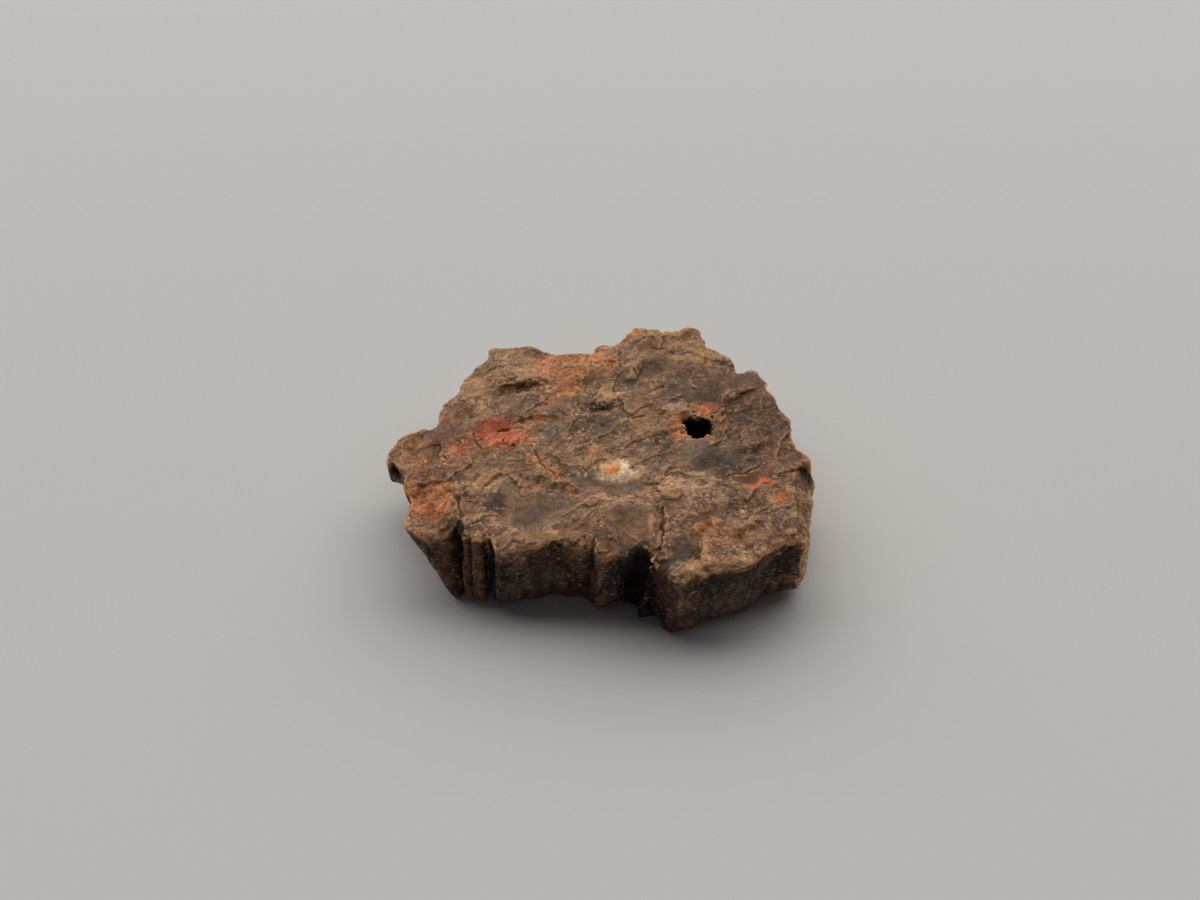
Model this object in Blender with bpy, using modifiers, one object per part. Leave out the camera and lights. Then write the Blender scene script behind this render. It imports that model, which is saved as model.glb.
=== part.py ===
"""Petrified wood chunk: one broken slab of silicified wood, modelled as one solid.

Metres, +Z up. +X runs along the slab's longest side, -Y faces the fluted front wall and
+Z is the broken end-grain face. The origin is the middle of the chunk's box, on the plane
that it rests on. Sizes and places below are in millimetres.
"""

import math

import bmesh
import bpy
from mathutils import Matrix, Vector, noise

MM = 0.001
CHUNK = "petrified_wood"

# The slab.
SLAB_HEIGHT = 16.0  # from the resting plane to the end-grain face
VOXEL = 0.62  # grain of the mesh that is sculpted
TRIANGLES = 9400  # facets left on the finished chunk

# The broken rim of the end-grain face, clockwise seen from above.
REAR_LEFT_BLOCK = [
    (-25.4, 30.6), (-24.6, 32.8), (-22.0, 33.3), (-18.0, 33.8), (-15.0, 33.7), (-13.4, 32.2),
    (-11.5, 30.6),
]
REAR_SADDLE = [
    (-8.0, 30.7), (-4.0, 30.9), (0.0, 31.2), (1.6, 33.5), (3.6, 34.2), (5.2, 35.6),
]
REAR_LOBE = [
    (6.6, 38.0), (8.0, 40.1), (9.6, 40.8), (13.0, 40.1), (14.2, 40.8), (15.8, 40.0),
    (19.8, 40.0), (21.0, 41.0), (22.8, 41.0), (24.6, 39.9), (25.4, 38.2), (26.9, 36.6),
    (26.2, 34.4), (27.4, 33.0), (30.2, 30.9), (31.6, 30.4), (32.6, 28.6), (32.9, 25.9),
]
REAR_RIGHT_TEETH = [
    (32.3, 23.0), (33.2, 22.4), (34.2, 24.1), (36.0, 24.6), (37.5, 23.9), (37.6, 22.0),
    (39.0, 21.0), (39.5, 18.9), (38.9, 17.0), (40.3, 14.9), (40.8, 12.6), (40.9, 10.4),
    (42.2, 8.4), (43.2, 6.6), (42.4, 4.4), (42.2, 1.6), (43.0, -1.3), (43.4, -3.0),
    (44.7, -4.2), (45.7, -5.7),
]
RIGHT_WALL = [
    (45.5, -9.0), (45.0, -13.0), (43.9, -19.0), (43.0, -24.0), (42.2, -28.0), (41.0, -30.2),
]
FRONT_LOBE = [
    (38.6, -30.4), (36.5, -30.6), (34.5, -31.6), (32.0, -33.5), (30.0, -35.3), (25.0, -37.2),
    (19.5, -38.2), (17.5, -39.1), (15.2, -39.9), (13.6, -38.9), (13.2, -37.4), (12.5, -36.0),
    (13.4, -34.7), (12.2, -35.3), (10.3, -34.9), (10.8, -32.9), (10.0, -31.6), (7.6, -30.9),
    (6.6, -31.6), (5.6, -32.9), (4.5, -33.5),
]
FRONT_MIDDLE = [
    (2.5, -33.8), (0.2, -33.3), (-0.8, -31.8), (-2.8, -31.2), (-5.8, -31.5), (-8.5, -30.1),
    (-11.0, -31.7), (-14.0, -31.6), (-17.0, -33.0), (-18.7, -33.2), (-20.0, -32.5),
    (-20.7, -31.0), (-21.2, -29.2), (-22.1, -29.1), (-22.6, -30.0), (-23.7, -30.0),
    (-24.6, -29.4), (-25.2, -28.3), (-26.2, -28.2), (-27.1, -27.0),
]
LEFT_FRONT_LEDGE = [
    (-26.9, -25.0), (-27.6, -23.2), (-28.4, -25.8), (-29.2, -26.4), (-30.2, -27.6),
    (-31.5, -28.5), (-33.2, -28.5), (-35.0, -27.2), (-36.8, -26.5), (-37.9, -25.0),
    (-38.3, -22.6), (-38.4, -18.0), (-39.2, -12.0), (-39.6, -5.0), (-38.4, 0.0),
]
REAR_LEFT_EDGE = [
    (-36.0, 3.0), (-35.0, 5.7), (-34.2, 9.7), (-32.4, 12.3), (-31.6, 14.8), (-31.1, 19.6),
    (-29.8, 21.7), (-28.3, 25.0), (-26.4, 27.6),
]
RIM = (
    REAR_LEFT_BLOCK + REAR_SADDLE + REAR_LOBE + REAR_RIGHT_TEETH + RIGHT_WALL + FRONT_LOBE
    + FRONT_MIDDLE + LEFT_FRONT_LEDGE + REAR_LEFT_EDGE
)

# The stub of a branch that stands out of the left wall, and the hollow rotted in its end.
STUB_OUTLINE = [
    (-36.0, -10.2), (-40.0, -9.8), (-41.8, -9.2), (-43.1, -7.8), (-44.2, -6.1),
    (-44.9, -4.5), (-44.9, -2.8), (-44.4, -1.1), (-43.3, 0.4), (-41.0, 1.9), (-38.5, 3.0),
    (-35.0, 3.6),
]
STUB_BOTTOM = 9.6
STUB_TOP = 15.6
STUB_ROOT = ((-37.8, -2.4, 9.8), (5.4, 6.2, 4.4))  # centre, half sizes
STUB_HOLLOW = ((-43.2, -8.7, 12.7), (2.1, 2.3, 2.3))  # centre, half sizes

# The rotted knot that left a blind hole in the end grain.
KNOT_CUTS = [
    ((21.2, 3.6, 15.0), (2.7, 2.9, 10.5)),
    ((19.6, 5.8, 15.2), (1.5, 1.9, 6.0)),
    ((23.0, 5.0, 15.6), (1.4, 1.3, 4.0)),
]

# Grooves cut down the front wall beside the ones that the rim itself makes:
# (x and y at the rim, width, depth, top height, bottom height, lean to the left going down)
WALL_GROOVES = [
    (8.2, -34.4, 4.6, 4.8, 18.0, 4.0, 0.8),
    (-1.4, -31.6, 1.7, 1.8, 18.0, 5.5, 2.2),
    (-8.3, -31.2, 2.8, 1.5, 18.0, 9.0, 0.0),
    (-21.3, -31.0, 1.7, 2.2, 18.0, 2.0, 0.2),
    (-27.4, -27.6, 1.5, 2.6, 18.0, 3.5, 0.4),
    (-25.0, -29.0, 1.0, 1.2, 16.0, 3.0, 0.2),
]

# Where the foot of the wall stands away from its rim:
# (x, y, reach, shift in x, shift in y, height at which the shift begins)
WALL_LEANS = [
    (-40.5, -13.0, 13.0, 4.6, 0.5, 9.0),
    (-39.0, -24.0, 8.5, 5.9, 0.2, 14.5),
    (-27.6, -26.5, 8.0, 0.6, -4.2, 15.0),
    (-21.5, -30.0, 5.0, 0.0, -1.2, 12.0),
    (-34.0, 10.0, 14.0, 2.4, -1.2, 12.0),
    (-20.0, 33.0, 12.0, 0.6, -2.4, 12.0),
    (4.0, 34.0, 13.0, 0.0, -1.6, 12.0),
    (20.0, 39.0, 13.0, -0.4, -2.6, 12.0),
    (35.0, 24.0, 13.0, -1.8, -1.6, 12.0),
    (43.0, 6.0, 12.0, -1.2, -0.4, 10.0),
    (45.0, -10.0, 9.0, -2.2, 0.0, 8.0),
    (43.0, -25.0, 8.0, -0.9, 0.0, 6.0),
    (8.0, -33.0, 6.5, -2.2, -2.8, 12.0),
    (15.5, -38.0, 5.0, -0.6, -0.2, 10.0),
]

# Broad swells and bowls of the end-grain face: (x, y, half length, half width, turn, rise)
TOP_FORMS = [
    (3.2, -11.5, 8.5, 6.0, 10, -1.1),  # bowl under the pale spot
    (-13.0, -22.0, 9.5, 6.0, 12, -0.8),  # smooth shell-like scar
    (-35.5, -20.5, 6.0, 8.5, 0, -1.5),  # low ledge at the left front
    (-22.0, 1.5, 6.5, 5.5, 20, -0.7),  # crumbled red hollow
    (-36.5, -4.0, 5.0, 8.0, 0, -0.8),
    (12.5, 25.0, 7.5, 6.0, 40, -0.6),  # smooth facet of the rear lobe
    (-5.0, 22.0, 9.0, 5.0, 40, 0.5),
    (-18.0, 24.0, 8.0, 6.0, 30, 0.6),
    (5.0, -25.5, 8.0, 6.0, 0, 0.6),
    (24.0, -7.0, 6.0, 4.0, 30, -0.7),
    (31.0, -13.5, 6.5, 3.0, 28, -0.6),
    (22.0, -22.0, 9.0, 6.0, 30, 0.4),
    (32.0, 12.0, 8.0, 6.0, 45, 0.5),
    (21.0, 4.0, 6.5, 6.5, 0, -0.5),
    (-8.0, -3.0, 10.0, 6.0, 20, 0.5),
    (22.0, 36.0, 7.0, 4.0, 0, -0.5),
]

# Lifted flakes, each with one broken edge that throws a shadow:
# (x and y of the edge's middle, way it faces, half length of the edge, reach behind it, rise)
FLAKES = [
    (2.2, 10.6, -50, 3.6, 9.0, 1.0),
    (12.2, -27.0, 3, 6.8, 8.0, 1.0),
    (8.9, 23.5, -12, 4.6, 6.0, 0.8),
    (-18.0, 18.2, -75, 6.0, 10.0, 1.0),
    (-30.2, -19.5, 178, 7.5, 7.0, 0.9),
    (26.0, -14.5, 100, 7.0, 7.0, 0.8),
    (-9.5, -14.5, -112, 6.5, 6.0, 0.7),
    (3.5, -20.3, 98, 5.0, 7.0, 0.6),
    (32.5, 14.0, -48, 6.0, 8.0, 0.8),
    (26.0, 27.0, -60, 5.0, 7.0, 0.6),
    (-28.0, 9.5, -150, 5.5, 6.0, 0.7),
    (-13.5, 6.2, -70, 4.5, 5.5, 0.7),
    (34.0, -2.5, -58, 5.0, 6.0, 0.8),
    (29.5, -26.0, -66, 5.0, 5.5, 0.7),
    (-4.0, 27.0, 130, 5.0, 6.0, 0.6),
    (13.5, 9.5, -120, 4.0, 5.0, 0.6),
]
FLAKE_EDGE = 0.45  # width of a broken edge
FLAKE_WANDER = 1.5  # how far an edge strays from a straight line

# The right shoulder: the rim's inner line, outside which the face drops to a worn strip.
SHOULDER_LINE = [(43.6, -7.0), (41.6, -10.0), (40.4, -14.0), (39.9, -25.0), (38.8, -30.6)]
SHOULDER_DROP = 3.4
SHOULDER_WIDTH = 3.6

# Scalloped break: size of a scallop along and across the grain, its turn and its depth.
SCALLOP_SIZE = (11.0, 6.5)
SCALLOP_TURN = 38
SCALLOP_DEPTH = 1.1

# Worn edge of the rim.
RIM_WEAR_WIDTH = 0.9
RIM_WEAR_DROP = 0.35

# Walls: flutes left by the wood's vessels, broader lumps, and shell-like breaks that are
# shallow on the fluted front wall and full behind this line.
FLUTE_PITCH = 2.6
FLUTE_DEPTH = 0.8
LUMP_PITCH = 7.5
LUMP_DEPTH = 1.1
BREAK_SIZE = 8.5
BREAK_DEPTH = 2.4
BREAK_SHARE_AT_FRONT = 0.25
FRONT_WALL_Y = -24.0

# The stub's end is worn round: (x where it starts, width, drop)
STUB_WEAR = (-40.5, 4.5, 2.2)

# Underside: its usual height, its swells and shell-like scars, its worn edge, and the spots
# that it stands on (x, y, half size, how far the spot comes below the usual height).
UNDER_HEIGHT = 1.5
UNDER_SWELL = 1.3
UNDER_SWELL_SIZE = 17.0
UNDER_SCAR_SIZE = 10.0
UNDER_SCAR_DEPTH = 1.5
UNDER_WEAR = 0.35
UNDER_WANDER = 6.0
FEET = [
    (15.5, -33.0, 14.0, 2.9),
    (-28.5, -25.0, 13.0, 2.9),
    (24.0, 19.0, 16.0, 3.0),
    (-17.0, 20.0, 15.0, 2.9),
    (-9.0, -32.0, 15.0, 2.8),
    (34.0, -31.0, 10.0, 1.0),
]
UNDER_LIFTS = [
    (-4.0, -10.0, 16.0, 0.9),
    (1.0, 26.0, 8.0, 0.9),
]

# Far-apart starts in the noise, so that a wandering vector's three parts don't agree.
WANDER_STARTS = [(9.3, -1.5, -7.9), (0.0, 0.0, 0.0), (-7.3, 12.1, 3.2)]

# Finish of the raw solid; linear colour.
STONE_COLOUR = (0.155, 0.100, 0.066, 1.0)
STONE_ROUGHNESS = 0.55


def clear_scene():
    for old in list(bpy.data.objects):
        bpy.data.objects.remove(old, do_unlink=True)


def new_collection(name):
    collection = bpy.data.collections.new(name)
    bpy.context.scene.collection.children.link(collection)
    return collection


def smooth(low, high, value):
    """0 below low, 1 above high, eased between them."""
    share = min(max((value - low) / (high - low), 0.0), 1.0)
    return share * share * (3.0 - 2.0 * share)


def prism(name, outline, bottom, top, collection):
    """A closed mesh of a flat outline, from one height to another."""
    curve = bpy.data.curves.new(name, "CURVE")
    curve.dimensions = "2D"
    curve.fill_mode = "BOTH"
    curve.extrude = (top - bottom) / 2 * MM
    spline = curve.splines.new("POLY")
    spline.points.add(len(outline) - 1)
    for point, (x, y) in zip(spline.points, outline):
        point.co = (x * MM, y * MM, 0.0, 1.0)
    spline.use_cyclic_u = True
    drawn = bpy.data.objects.new(name + "_outline", curve)
    drawn.location.z = (top + bottom) / 2 * MM
    collection.objects.link(drawn)
    made = bpy.data.objects.new(name, evaluated_mesh(drawn))
    made.matrix_world = drawn.matrix_world.copy()
    weld(made.data)
    bpy.data.objects.remove(drawn, do_unlink=True)
    collection.objects.link(made)
    return made


def evaluated_mesh(thing):
    """The mesh of an object with its modifiers applied."""
    graph = bpy.context.evaluated_depsgraph_get()
    graph.update()
    return bpy.data.meshes.new_from_object(thing.evaluated_get(graph))


def weld(mesh):
    """Close the seams that a filled curve leaves between its caps and its wall."""
    shape = bmesh.new()
    shape.from_mesh(mesh)
    bmesh.ops.remove_doubles(shape, verts=shape.verts, dist=0.01 * MM)
    bmesh.ops.recalc_face_normals(shape, faces=shape.faces)
    shape.to_mesh(mesh)
    shape.free()


def egg(name, centre, half_sizes, collection):
    """An ellipsoid, for the round hollows."""
    shape = bmesh.new()
    bmesh.ops.create_icosphere(shape, subdivisions=3, radius=1.0)
    bmesh.ops.scale(shape, vec=Vector(half_sizes) * MM, verts=shape.verts)
    bmesh.ops.translate(shape, vec=Vector(centre) * MM, verts=shape.verts)
    return cutter_from(shape, name, collection)


def groove_cutter(name, groove, collection):
    """A round-bottomed bar that leans as it goes down the wall."""
    x, y, width, depth, top, bottom, lean = groove
    shape = bmesh.new()
    bmesh.ops.create_cone(
        shape, cap_ends=True, segments=12, radius1=0.5, radius2=0.5, depth=1.0
    )
    bmesh.ops.scale(shape, vec=Vector((width, depth * 2, top - bottom)) * MM, verts=shape.verts)
    slant = Matrix.Identity(4)
    slant[0][2] = lean / (top - bottom)
    bmesh.ops.transform(shape, matrix=slant, verts=shape.verts)
    middle = Vector((x - lean / 2, y, (top + bottom) / 2)) * MM
    bmesh.ops.translate(shape, vec=middle, verts=shape.verts)
    return cutter_from(shape, name, collection)


def cutter_from(shape, name, collection):
    """An object that only cuts or joins: drawn as wire, never shown."""
    mesh = bpy.data.meshes.new(name)
    shape.to_mesh(mesh)
    shape.free()
    cutter = bpy.data.objects.new(name, mesh)
    collection.objects.link(cutter)
    hide(cutter)
    return cutter


def hide(helper):
    helper.hide_render = True
    helper.display_type = "WIRE"


def combine(body, other, operation):
    """A live exact Boolean of one object with another."""
    boolean = body.modifiers.new(other.name, "BOOLEAN")
    boolean.operation = operation
    boolean.solver = "EXACT"
    boolean.object = other


def rough_block(parts, cutters):
    """The slab with its branch stub, hollows and grooves, before any sculpting."""
    slab = prism(CHUNK, RIM, 0.0, SLAB_HEIGHT, parts)
    stub = prism("branch_stub", STUB_OUTLINE, STUB_BOTTOM, STUB_TOP, cutters)
    hide(stub)
    combine(slab, stub, "UNION")
    combine(slab, egg("stub_root", *STUB_ROOT, cutters), "UNION")
    combine(slab, egg("stub_hollow", *STUB_HOLLOW, cutters), "DIFFERENCE")
    for number, (centre, half_sizes) in enumerate(KNOT_CUTS):
        combine(slab, egg(f"knot_{number}", centre, half_sizes, cutters), "DIFFERENCE")
    for number, groove in enumerate(WALL_GROOVES):
        combine(slab, groove_cutter(f"groove_{number}", groove, cutters), "DIFFERENCE")
    remesh = slab.modifiers.new("even_grain", "REMESH")
    remesh.mode = "VOXEL"
    remesh.voxel_size = VOXEL * MM
    return slab


def wander(place):
    """A smooth vector that strays from place to place, from one noise read far apart."""
    return Vector([noise.noise(place + Vector(start)) for start in WANDER_STARTS])


def turned(x, y, centre_x, centre_y, degrees):
    """A point in the axes of a form that is turned about its own centre."""
    angle = math.radians(degrees)
    along = (x - centre_x) * math.cos(angle) + (y - centre_y) * math.sin(angle)
    across = (y - centre_y) * math.cos(angle) - (x - centre_x) * math.sin(angle)
    return along, across


def form_height(x, y):
    """Broad swells and bowls of the end grain."""
    height = 0.0
    for centre_x, centre_y, half_length, half_width, turn, rise in TOP_FORMS:
        along, across = turned(x, y, centre_x, centre_y, turn)
        away = math.hypot(along / half_length, across / half_width)
        height += rise * (1.0 - smooth(0.25, 1.0, away))
    return height


def flake_height(x, y):
    """Lifted flakes: each drops sharply at its broken edge and fades out behind it."""
    stray = wander(Vector((x, y, 7.0)) / 5.0) * FLAKE_WANDER
    stray += wander(Vector((x, y, 9.0)) / 2.2) * FLAKE_WANDER * 0.4
    height = 0.0
    for edge_x, edge_y, facing, half_length, reach, rise in FLAKES:
        ahead, along = turned(x + stray.x, y + stray.y, edge_x, edge_y, facing)
        behind = -ahead
        edge = smooth(-FLAKE_EDGE, FLAKE_EDGE, behind)
        fade = 1.0 - smooth(0.1, 1.0, behind / reach)
        ends = 1.0 - smooth(0.3, 1.25, abs(along) / half_length)
        height += rise * edge * fade * ends
    return height


def scallop_height(x, y):
    """Shell-like scars that meet in low ridges, stretched along the grain's sweep."""
    along, across = turned(x, y, 0.0, 0.0, SCALLOP_TURN)
    bend = wander(Vector((x * 0.06, y * 0.06, 3.0)))
    place = Vector((along / SCALLOP_SIZE[0], across / SCALLOP_SIZE[1], 0.0)) + bend * 0.8
    nearest = noise.voronoi(place)[0][0]
    return SCALLOP_DEPTH * (min(nearest * nearest, 0.9) - 0.35)


def line_side(x, y, line):
    """How far right of a line that runs down the page a point lies, or None beyond its ends."""
    for (high_x, high_y), (low_x, low_y) in zip(line, line[1:]):
        if low_y <= y <= high_y:
            share = (y - low_y) / (high_y - low_y)
            return x - (low_x + (high_x - low_x) * share)
    return None


def shoulder_height(x, y):
    """The worn strip along the right wall."""
    side = line_side(x, y, SHOULDER_LINE)
    if side is None:
        return 0.0
    broken = side + 0.5 * noise.noise(Vector((x * 0.4, y * 0.4, 11.0)))
    drop = 0.45 * smooth(-0.2, 0.8, broken) + 0.55 * smooth(0.8, SHOULDER_WIDTH, broken)
    ends = smooth(SHOULDER_LINE[-1][1], SHOULDER_LINE[-1][1] + 2.0, y)
    ends *= 1.0 - smooth(SHOULDER_LINE[0][1] - 3.0, SHOULDER_LINE[0][1], y)
    return -SHOULDER_DROP * drop * ends


def rim_distance(x, y):
    """Distance from a point to the rim's outline."""
    nearest = 1e9
    for (from_x, from_y), (to_x, to_y) in zip(RIM, RIM[1:] + RIM[:1]):
        run_x = to_x - from_x
        run_y = to_y - from_y
        share = ((x - from_x) * run_x + (y - from_y) * run_y) / (run_x * run_x + run_y * run_y)
        share = min(max(share, 0.0), 1.0)
        gap = math.hypot(x - from_x - share * run_x, y - from_y - share * run_y)
        nearest = min(nearest, gap)
    return nearest


def top_height(x, y, to_rim):
    """Height of the end-grain face."""
    wear = RIM_WEAR_DROP * (1.0 - smooth(0.0, RIM_WEAR_WIDTH, to_rim))
    wear += STUB_WEAR[2] * smooth(0.0, STUB_WEAR[1], STUB_WEAR[0] - x)
    height = SLAB_HEIGHT + form_height(x, y) + flake_height(x, y) + scallop_height(x, y)
    return height + shoulder_height(x, y) - wear


def spot_sum(x, y, spots):
    """Total height of soft round spots: (x, y, half size, height)."""
    total = 0.0
    for spot_x, spot_y, half_size, height in spots:
        away = math.hypot(x - spot_x, y - spot_y) / half_size
        total += height * (1.0 - smooth(0.1, 1.0, away))
    return total


def under_height(x, y, to_rim):
    """Height of the underside, below the resting plane where the chunk will stand."""
    stray = wander(Vector((x, y, 60.0)) / UNDER_SCAR_SIZE) * UNDER_WANDER
    swell = noise.noise(Vector((x, y, 40.0)) / UNDER_SWELL_SIZE)
    scar = noise.voronoi(Vector((x + stray.x, y + stray.y, 0.0)) / UNDER_SCAR_SIZE)[0][0]
    height = UNDER_HEIGHT + UNDER_SWELL * swell
    height += UNDER_SCAR_DEPTH * (0.35 - min(scar * scar, 0.8))
    height -= spot_sum(x + stray.x, y + stray.y, FEET)
    height += spot_sum(x, y, UNDER_LIFTS)
    return height + UNDER_WEAR * (1.0 - smooth(0.0, 1.2, to_rim))


def lean_shift(x, y, height):
    """Sideways shift that leans the lower wall in or out."""
    shift = Vector((0.0, 0.0))
    for centre_x, centre_y, reach, shift_x, shift_y, start in WALL_LEANS:
        near = 1.0 - smooth(0.3, 1.0, math.hypot(x - centre_x, y - centre_y) / reach)
        down = 1.0 - smooth(0.0, 1.0, height / start)
        shift += Vector((shift_x, shift_y)) * near * down
    return shift


def wall_relief(x, y, height):
    """How far the wall stands out: vessel flutes that run down it, lumps and breaks."""
    flute = noise.noise(Vector((x, y, height * 0.09)) / FLUTE_PITCH)
    lump = noise.noise(Vector((x, y, height * 0.6 + 50.0)) / LUMP_PITCH)
    nearest = noise.voronoi(Vector((x, y, height * 0.8 + 90.0)) / BREAK_SIZE)[0][0]
    behind = smooth(FRONT_WALL_Y - 4.0, FRONT_WALL_Y + 4.0, y)
    share = BREAK_SHARE_AT_FRONT + (1.0 - BREAK_SHARE_AT_FRONT) * behind
    shell = min(nearest * nearest, 0.8) - 0.3
    return FLUTE_DEPTH * flute + LUMP_DEPTH * lump + BREAK_DEPTH * share * shell


def sculpt(mesh):
    """Work the block into the broken stone, point by point."""
    shape = bmesh.new()
    shape.from_mesh(mesh)
    shape.normal_update()
    places = []
    for vert in shape.verts:
        x, y, z = vert.co / MM
        share = min(max(z / SLAB_HEIGHT, 0.0), 1.0)
        to_rim = rim_distance(x, y)
        low = under_height(x, y, to_rim)
        high = top_height(x, y, to_rim)
        height = low + share * (high - low)
        sideways = Vector(vert.normal.xy)
        wall = 1.0 - smooth(1.0, 2.5, to_rim)
        outward = sideways * wall * wall_relief(x, y, height)
        shift = lean_shift(x, y, height)
        places.append(Vector((x + outward.x + shift.x, y + outward.y + shift.y, height)) * MM)
    for vert, place in zip(shape.verts, places):
        vert.co = place
    shape.to_mesh(mesh)
    shape.free()


def thin(mesh, collection):
    """The same shape with few facets, the most where it bends the most."""
    carrier = bpy.data.objects.new("to_thin", mesh)
    collection.objects.link(carrier)
    mesh.calc_loop_triangles()
    decimate = carrier.modifiers.new("few_facets", "DECIMATE")
    decimate.ratio = TRIANGLES / len(mesh.loop_triangles)
    thinned = evaluated_mesh(carrier)
    bpy.data.objects.remove(carrier, do_unlink=True)
    return thinned


def stand_flat(mesh):
    """Grind the feet level with the resting plane and centre the chunk on the origin."""
    shape = bmesh.new()
    shape.from_mesh(mesh)
    everything = shape.verts[:] + shape.edges[:] + shape.faces[:]
    bmesh.ops.bisect_plane(
        shape, geom=everything, dist=0.04 * MM, use_snap_center=True,
        plane_co=(0, 0, 0), plane_no=(0, 0, 1), clear_inner=True,
    )
    open_edges = [edge for edge in shape.edges if edge.is_boundary]
    bmesh.ops.holes_fill(shape, edges=open_edges, sides=0)
    bmesh.ops.triangulate(shape, faces=shape.faces)
    bmesh.ops.recalc_face_normals(shape, faces=shape.faces)
    xs = [vert.co.x for vert in shape.verts]
    ys = [vert.co.y for vert in shape.verts]
    middle = Vector(((min(xs) + max(xs)) / 2, (min(ys) + max(ys)) / 2, 0.0))
    bmesh.ops.translate(shape, vec=-middle, verts=shape.verts)
    shape.to_mesh(mesh)
    shape.free()


def stone_material():
    material = bpy.data.materials.new(CHUNK)
    material.use_nodes = True
    shader = material.node_tree.nodes["Principled BSDF"]
    shader.inputs["Base Color"].default_value = STONE_COLOUR
    shader.inputs["Roughness"].default_value = STONE_ROUGHNESS
    shader.inputs["Metallic"].default_value = 0.0
    return material


def build():
    clear_scene()
    parts = new_collection("petrified_wood_chunk")
    cutters = new_collection("cutters")
    chunk = rough_block(parts, cutters)
    block = evaluated_mesh(chunk)
    block.transform(chunk.matrix_world)
    chunk.matrix_world = Matrix.Identity(4)
    chunk.modifiers.clear()
    sculpt(block)
    chunk.data = thin(block, cutters)
    stand_flat(chunk.data)
    chunk.data.name = CHUNK
    chunk.data.materials.clear()
    chunk.data.materials.append(stone_material())


build()
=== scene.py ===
# %% [markdown]
# # A chunk of petrified wood
#
# This lesson dresses one broken slab of petrified wood. The wood turned to quartz long ago,
# so it breaks like flint on its face and still shows its vessels as flutes down its sides.
# All of it is one stone, so it is one piece here. The solid model gives the outline and the
# big forms. What is made here is what the eye meets next: crisp chips, cracks, a ragged lip
# and the iron stains.

# %% Load the solid model
import math

import bmesh
import bpy
import numpy as np
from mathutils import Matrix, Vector, kdtree, noise


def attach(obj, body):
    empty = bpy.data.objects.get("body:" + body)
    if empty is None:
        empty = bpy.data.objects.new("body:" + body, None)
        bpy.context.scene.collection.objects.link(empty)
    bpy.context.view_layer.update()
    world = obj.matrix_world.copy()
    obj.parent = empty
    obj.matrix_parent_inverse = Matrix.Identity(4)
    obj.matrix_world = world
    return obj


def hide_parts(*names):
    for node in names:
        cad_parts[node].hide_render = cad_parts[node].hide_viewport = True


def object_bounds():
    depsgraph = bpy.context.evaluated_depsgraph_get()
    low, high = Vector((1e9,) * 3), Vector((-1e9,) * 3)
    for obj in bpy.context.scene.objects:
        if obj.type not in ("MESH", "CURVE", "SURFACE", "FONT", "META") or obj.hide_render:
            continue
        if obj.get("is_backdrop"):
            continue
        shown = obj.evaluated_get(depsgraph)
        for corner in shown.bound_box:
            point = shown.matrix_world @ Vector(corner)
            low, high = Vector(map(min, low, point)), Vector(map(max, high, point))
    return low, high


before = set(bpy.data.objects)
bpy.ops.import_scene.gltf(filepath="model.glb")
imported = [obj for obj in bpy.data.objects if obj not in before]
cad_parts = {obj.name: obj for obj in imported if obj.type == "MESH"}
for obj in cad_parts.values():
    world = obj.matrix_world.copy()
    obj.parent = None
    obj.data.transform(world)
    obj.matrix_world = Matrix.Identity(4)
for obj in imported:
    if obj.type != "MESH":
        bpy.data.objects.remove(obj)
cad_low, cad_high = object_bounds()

MM = 0.001
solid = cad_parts["petrified_wood"]
size_mm = [(high - low) / MM for low, high in zip(cad_low, cad_high)]
print("solid model, mm:", [round(side, 1) for side in size_mm])

# %% [markdown]
# ## A finer skin for the same stone
#
# The solid has facets a millimetre or two wide, too coarse for chips and grain. It could be
# subdivided, but that keeps the old facets' edges. Remeshing it with small voxels gives an
# even net of squares to carve, and a few rounds of smoothing melt the old facets away.
# The loose triangles of the solid are merged first, because voxels need a closed surface.

# %% Copy, merge and remesh
VOXEL_MM = 0.30
SMOOTHING_ROUNDS = 5


def evaluated_mesh(thing):
    """The mesh of an object with its modifiers applied."""
    graph = bpy.context.evaluated_depsgraph_get()
    graph.update()
    return bpy.data.meshes.new_from_object(thing.evaluated_get(graph))


skin = bmesh.new()
skin.from_mesh(solid.data)
bmesh.ops.remove_doubles(skin, verts=skin.verts, dist=0.002 * MM)
merged = bpy.data.meshes.new("merged")
skin.to_mesh(merged)
skin.free()
carrier = bpy.data.objects.new("carrier", merged)
bpy.context.scene.collection.objects.link(carrier)
voxels = carrier.modifiers.new("even_net", "REMESH")
voxels.mode = "VOXEL"
voxels.voxel_size = VOXEL_MM * MM
fine = evaluated_mesh(carrier)
bpy.data.objects.remove(carrier, do_unlink=True)

net = bmesh.new()
net.from_mesh(fine)
for _ in range(SMOOTHING_ROUNDS):
    bmesh.ops.smooth_vert(
        net, verts=net.verts, factor=0.5, use_axis_x=True, use_axis_y=True, use_axis_z=True
    )
QUIET_WALLS = [  # stretches that broke nearly flat: x from, to, y from, to, below z
    (-20.0, -1.8, -45.0, -22.0, 14.0),
    (14.0, 36.5, -45.0, -22.0, 14.0),
    (40.5, 47.0, -29.0, -8.0, 18.0),
]
QUIET_ROUNDS = 90
quiet_verts = []
for vert in net.verts:
    x, y, z = vert.co / MM
    if vert.normal.z < 0.5:
        for from_x, to_x, from_y, to_y, top_z in QUIET_WALLS:
            if from_x < x < to_x and from_y < y < to_y and z < top_z:
                quiet_verts.append(vert)
for _ in range(QUIET_ROUNDS):
    bmesh.ops.smooth_vert(
        net, verts=quiet_verts, factor=0.5, use_axis_x=True, use_axis_y=True, use_axis_z=False
    )
net.normal_update()
print("points to carve:", len(net.verts))

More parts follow.
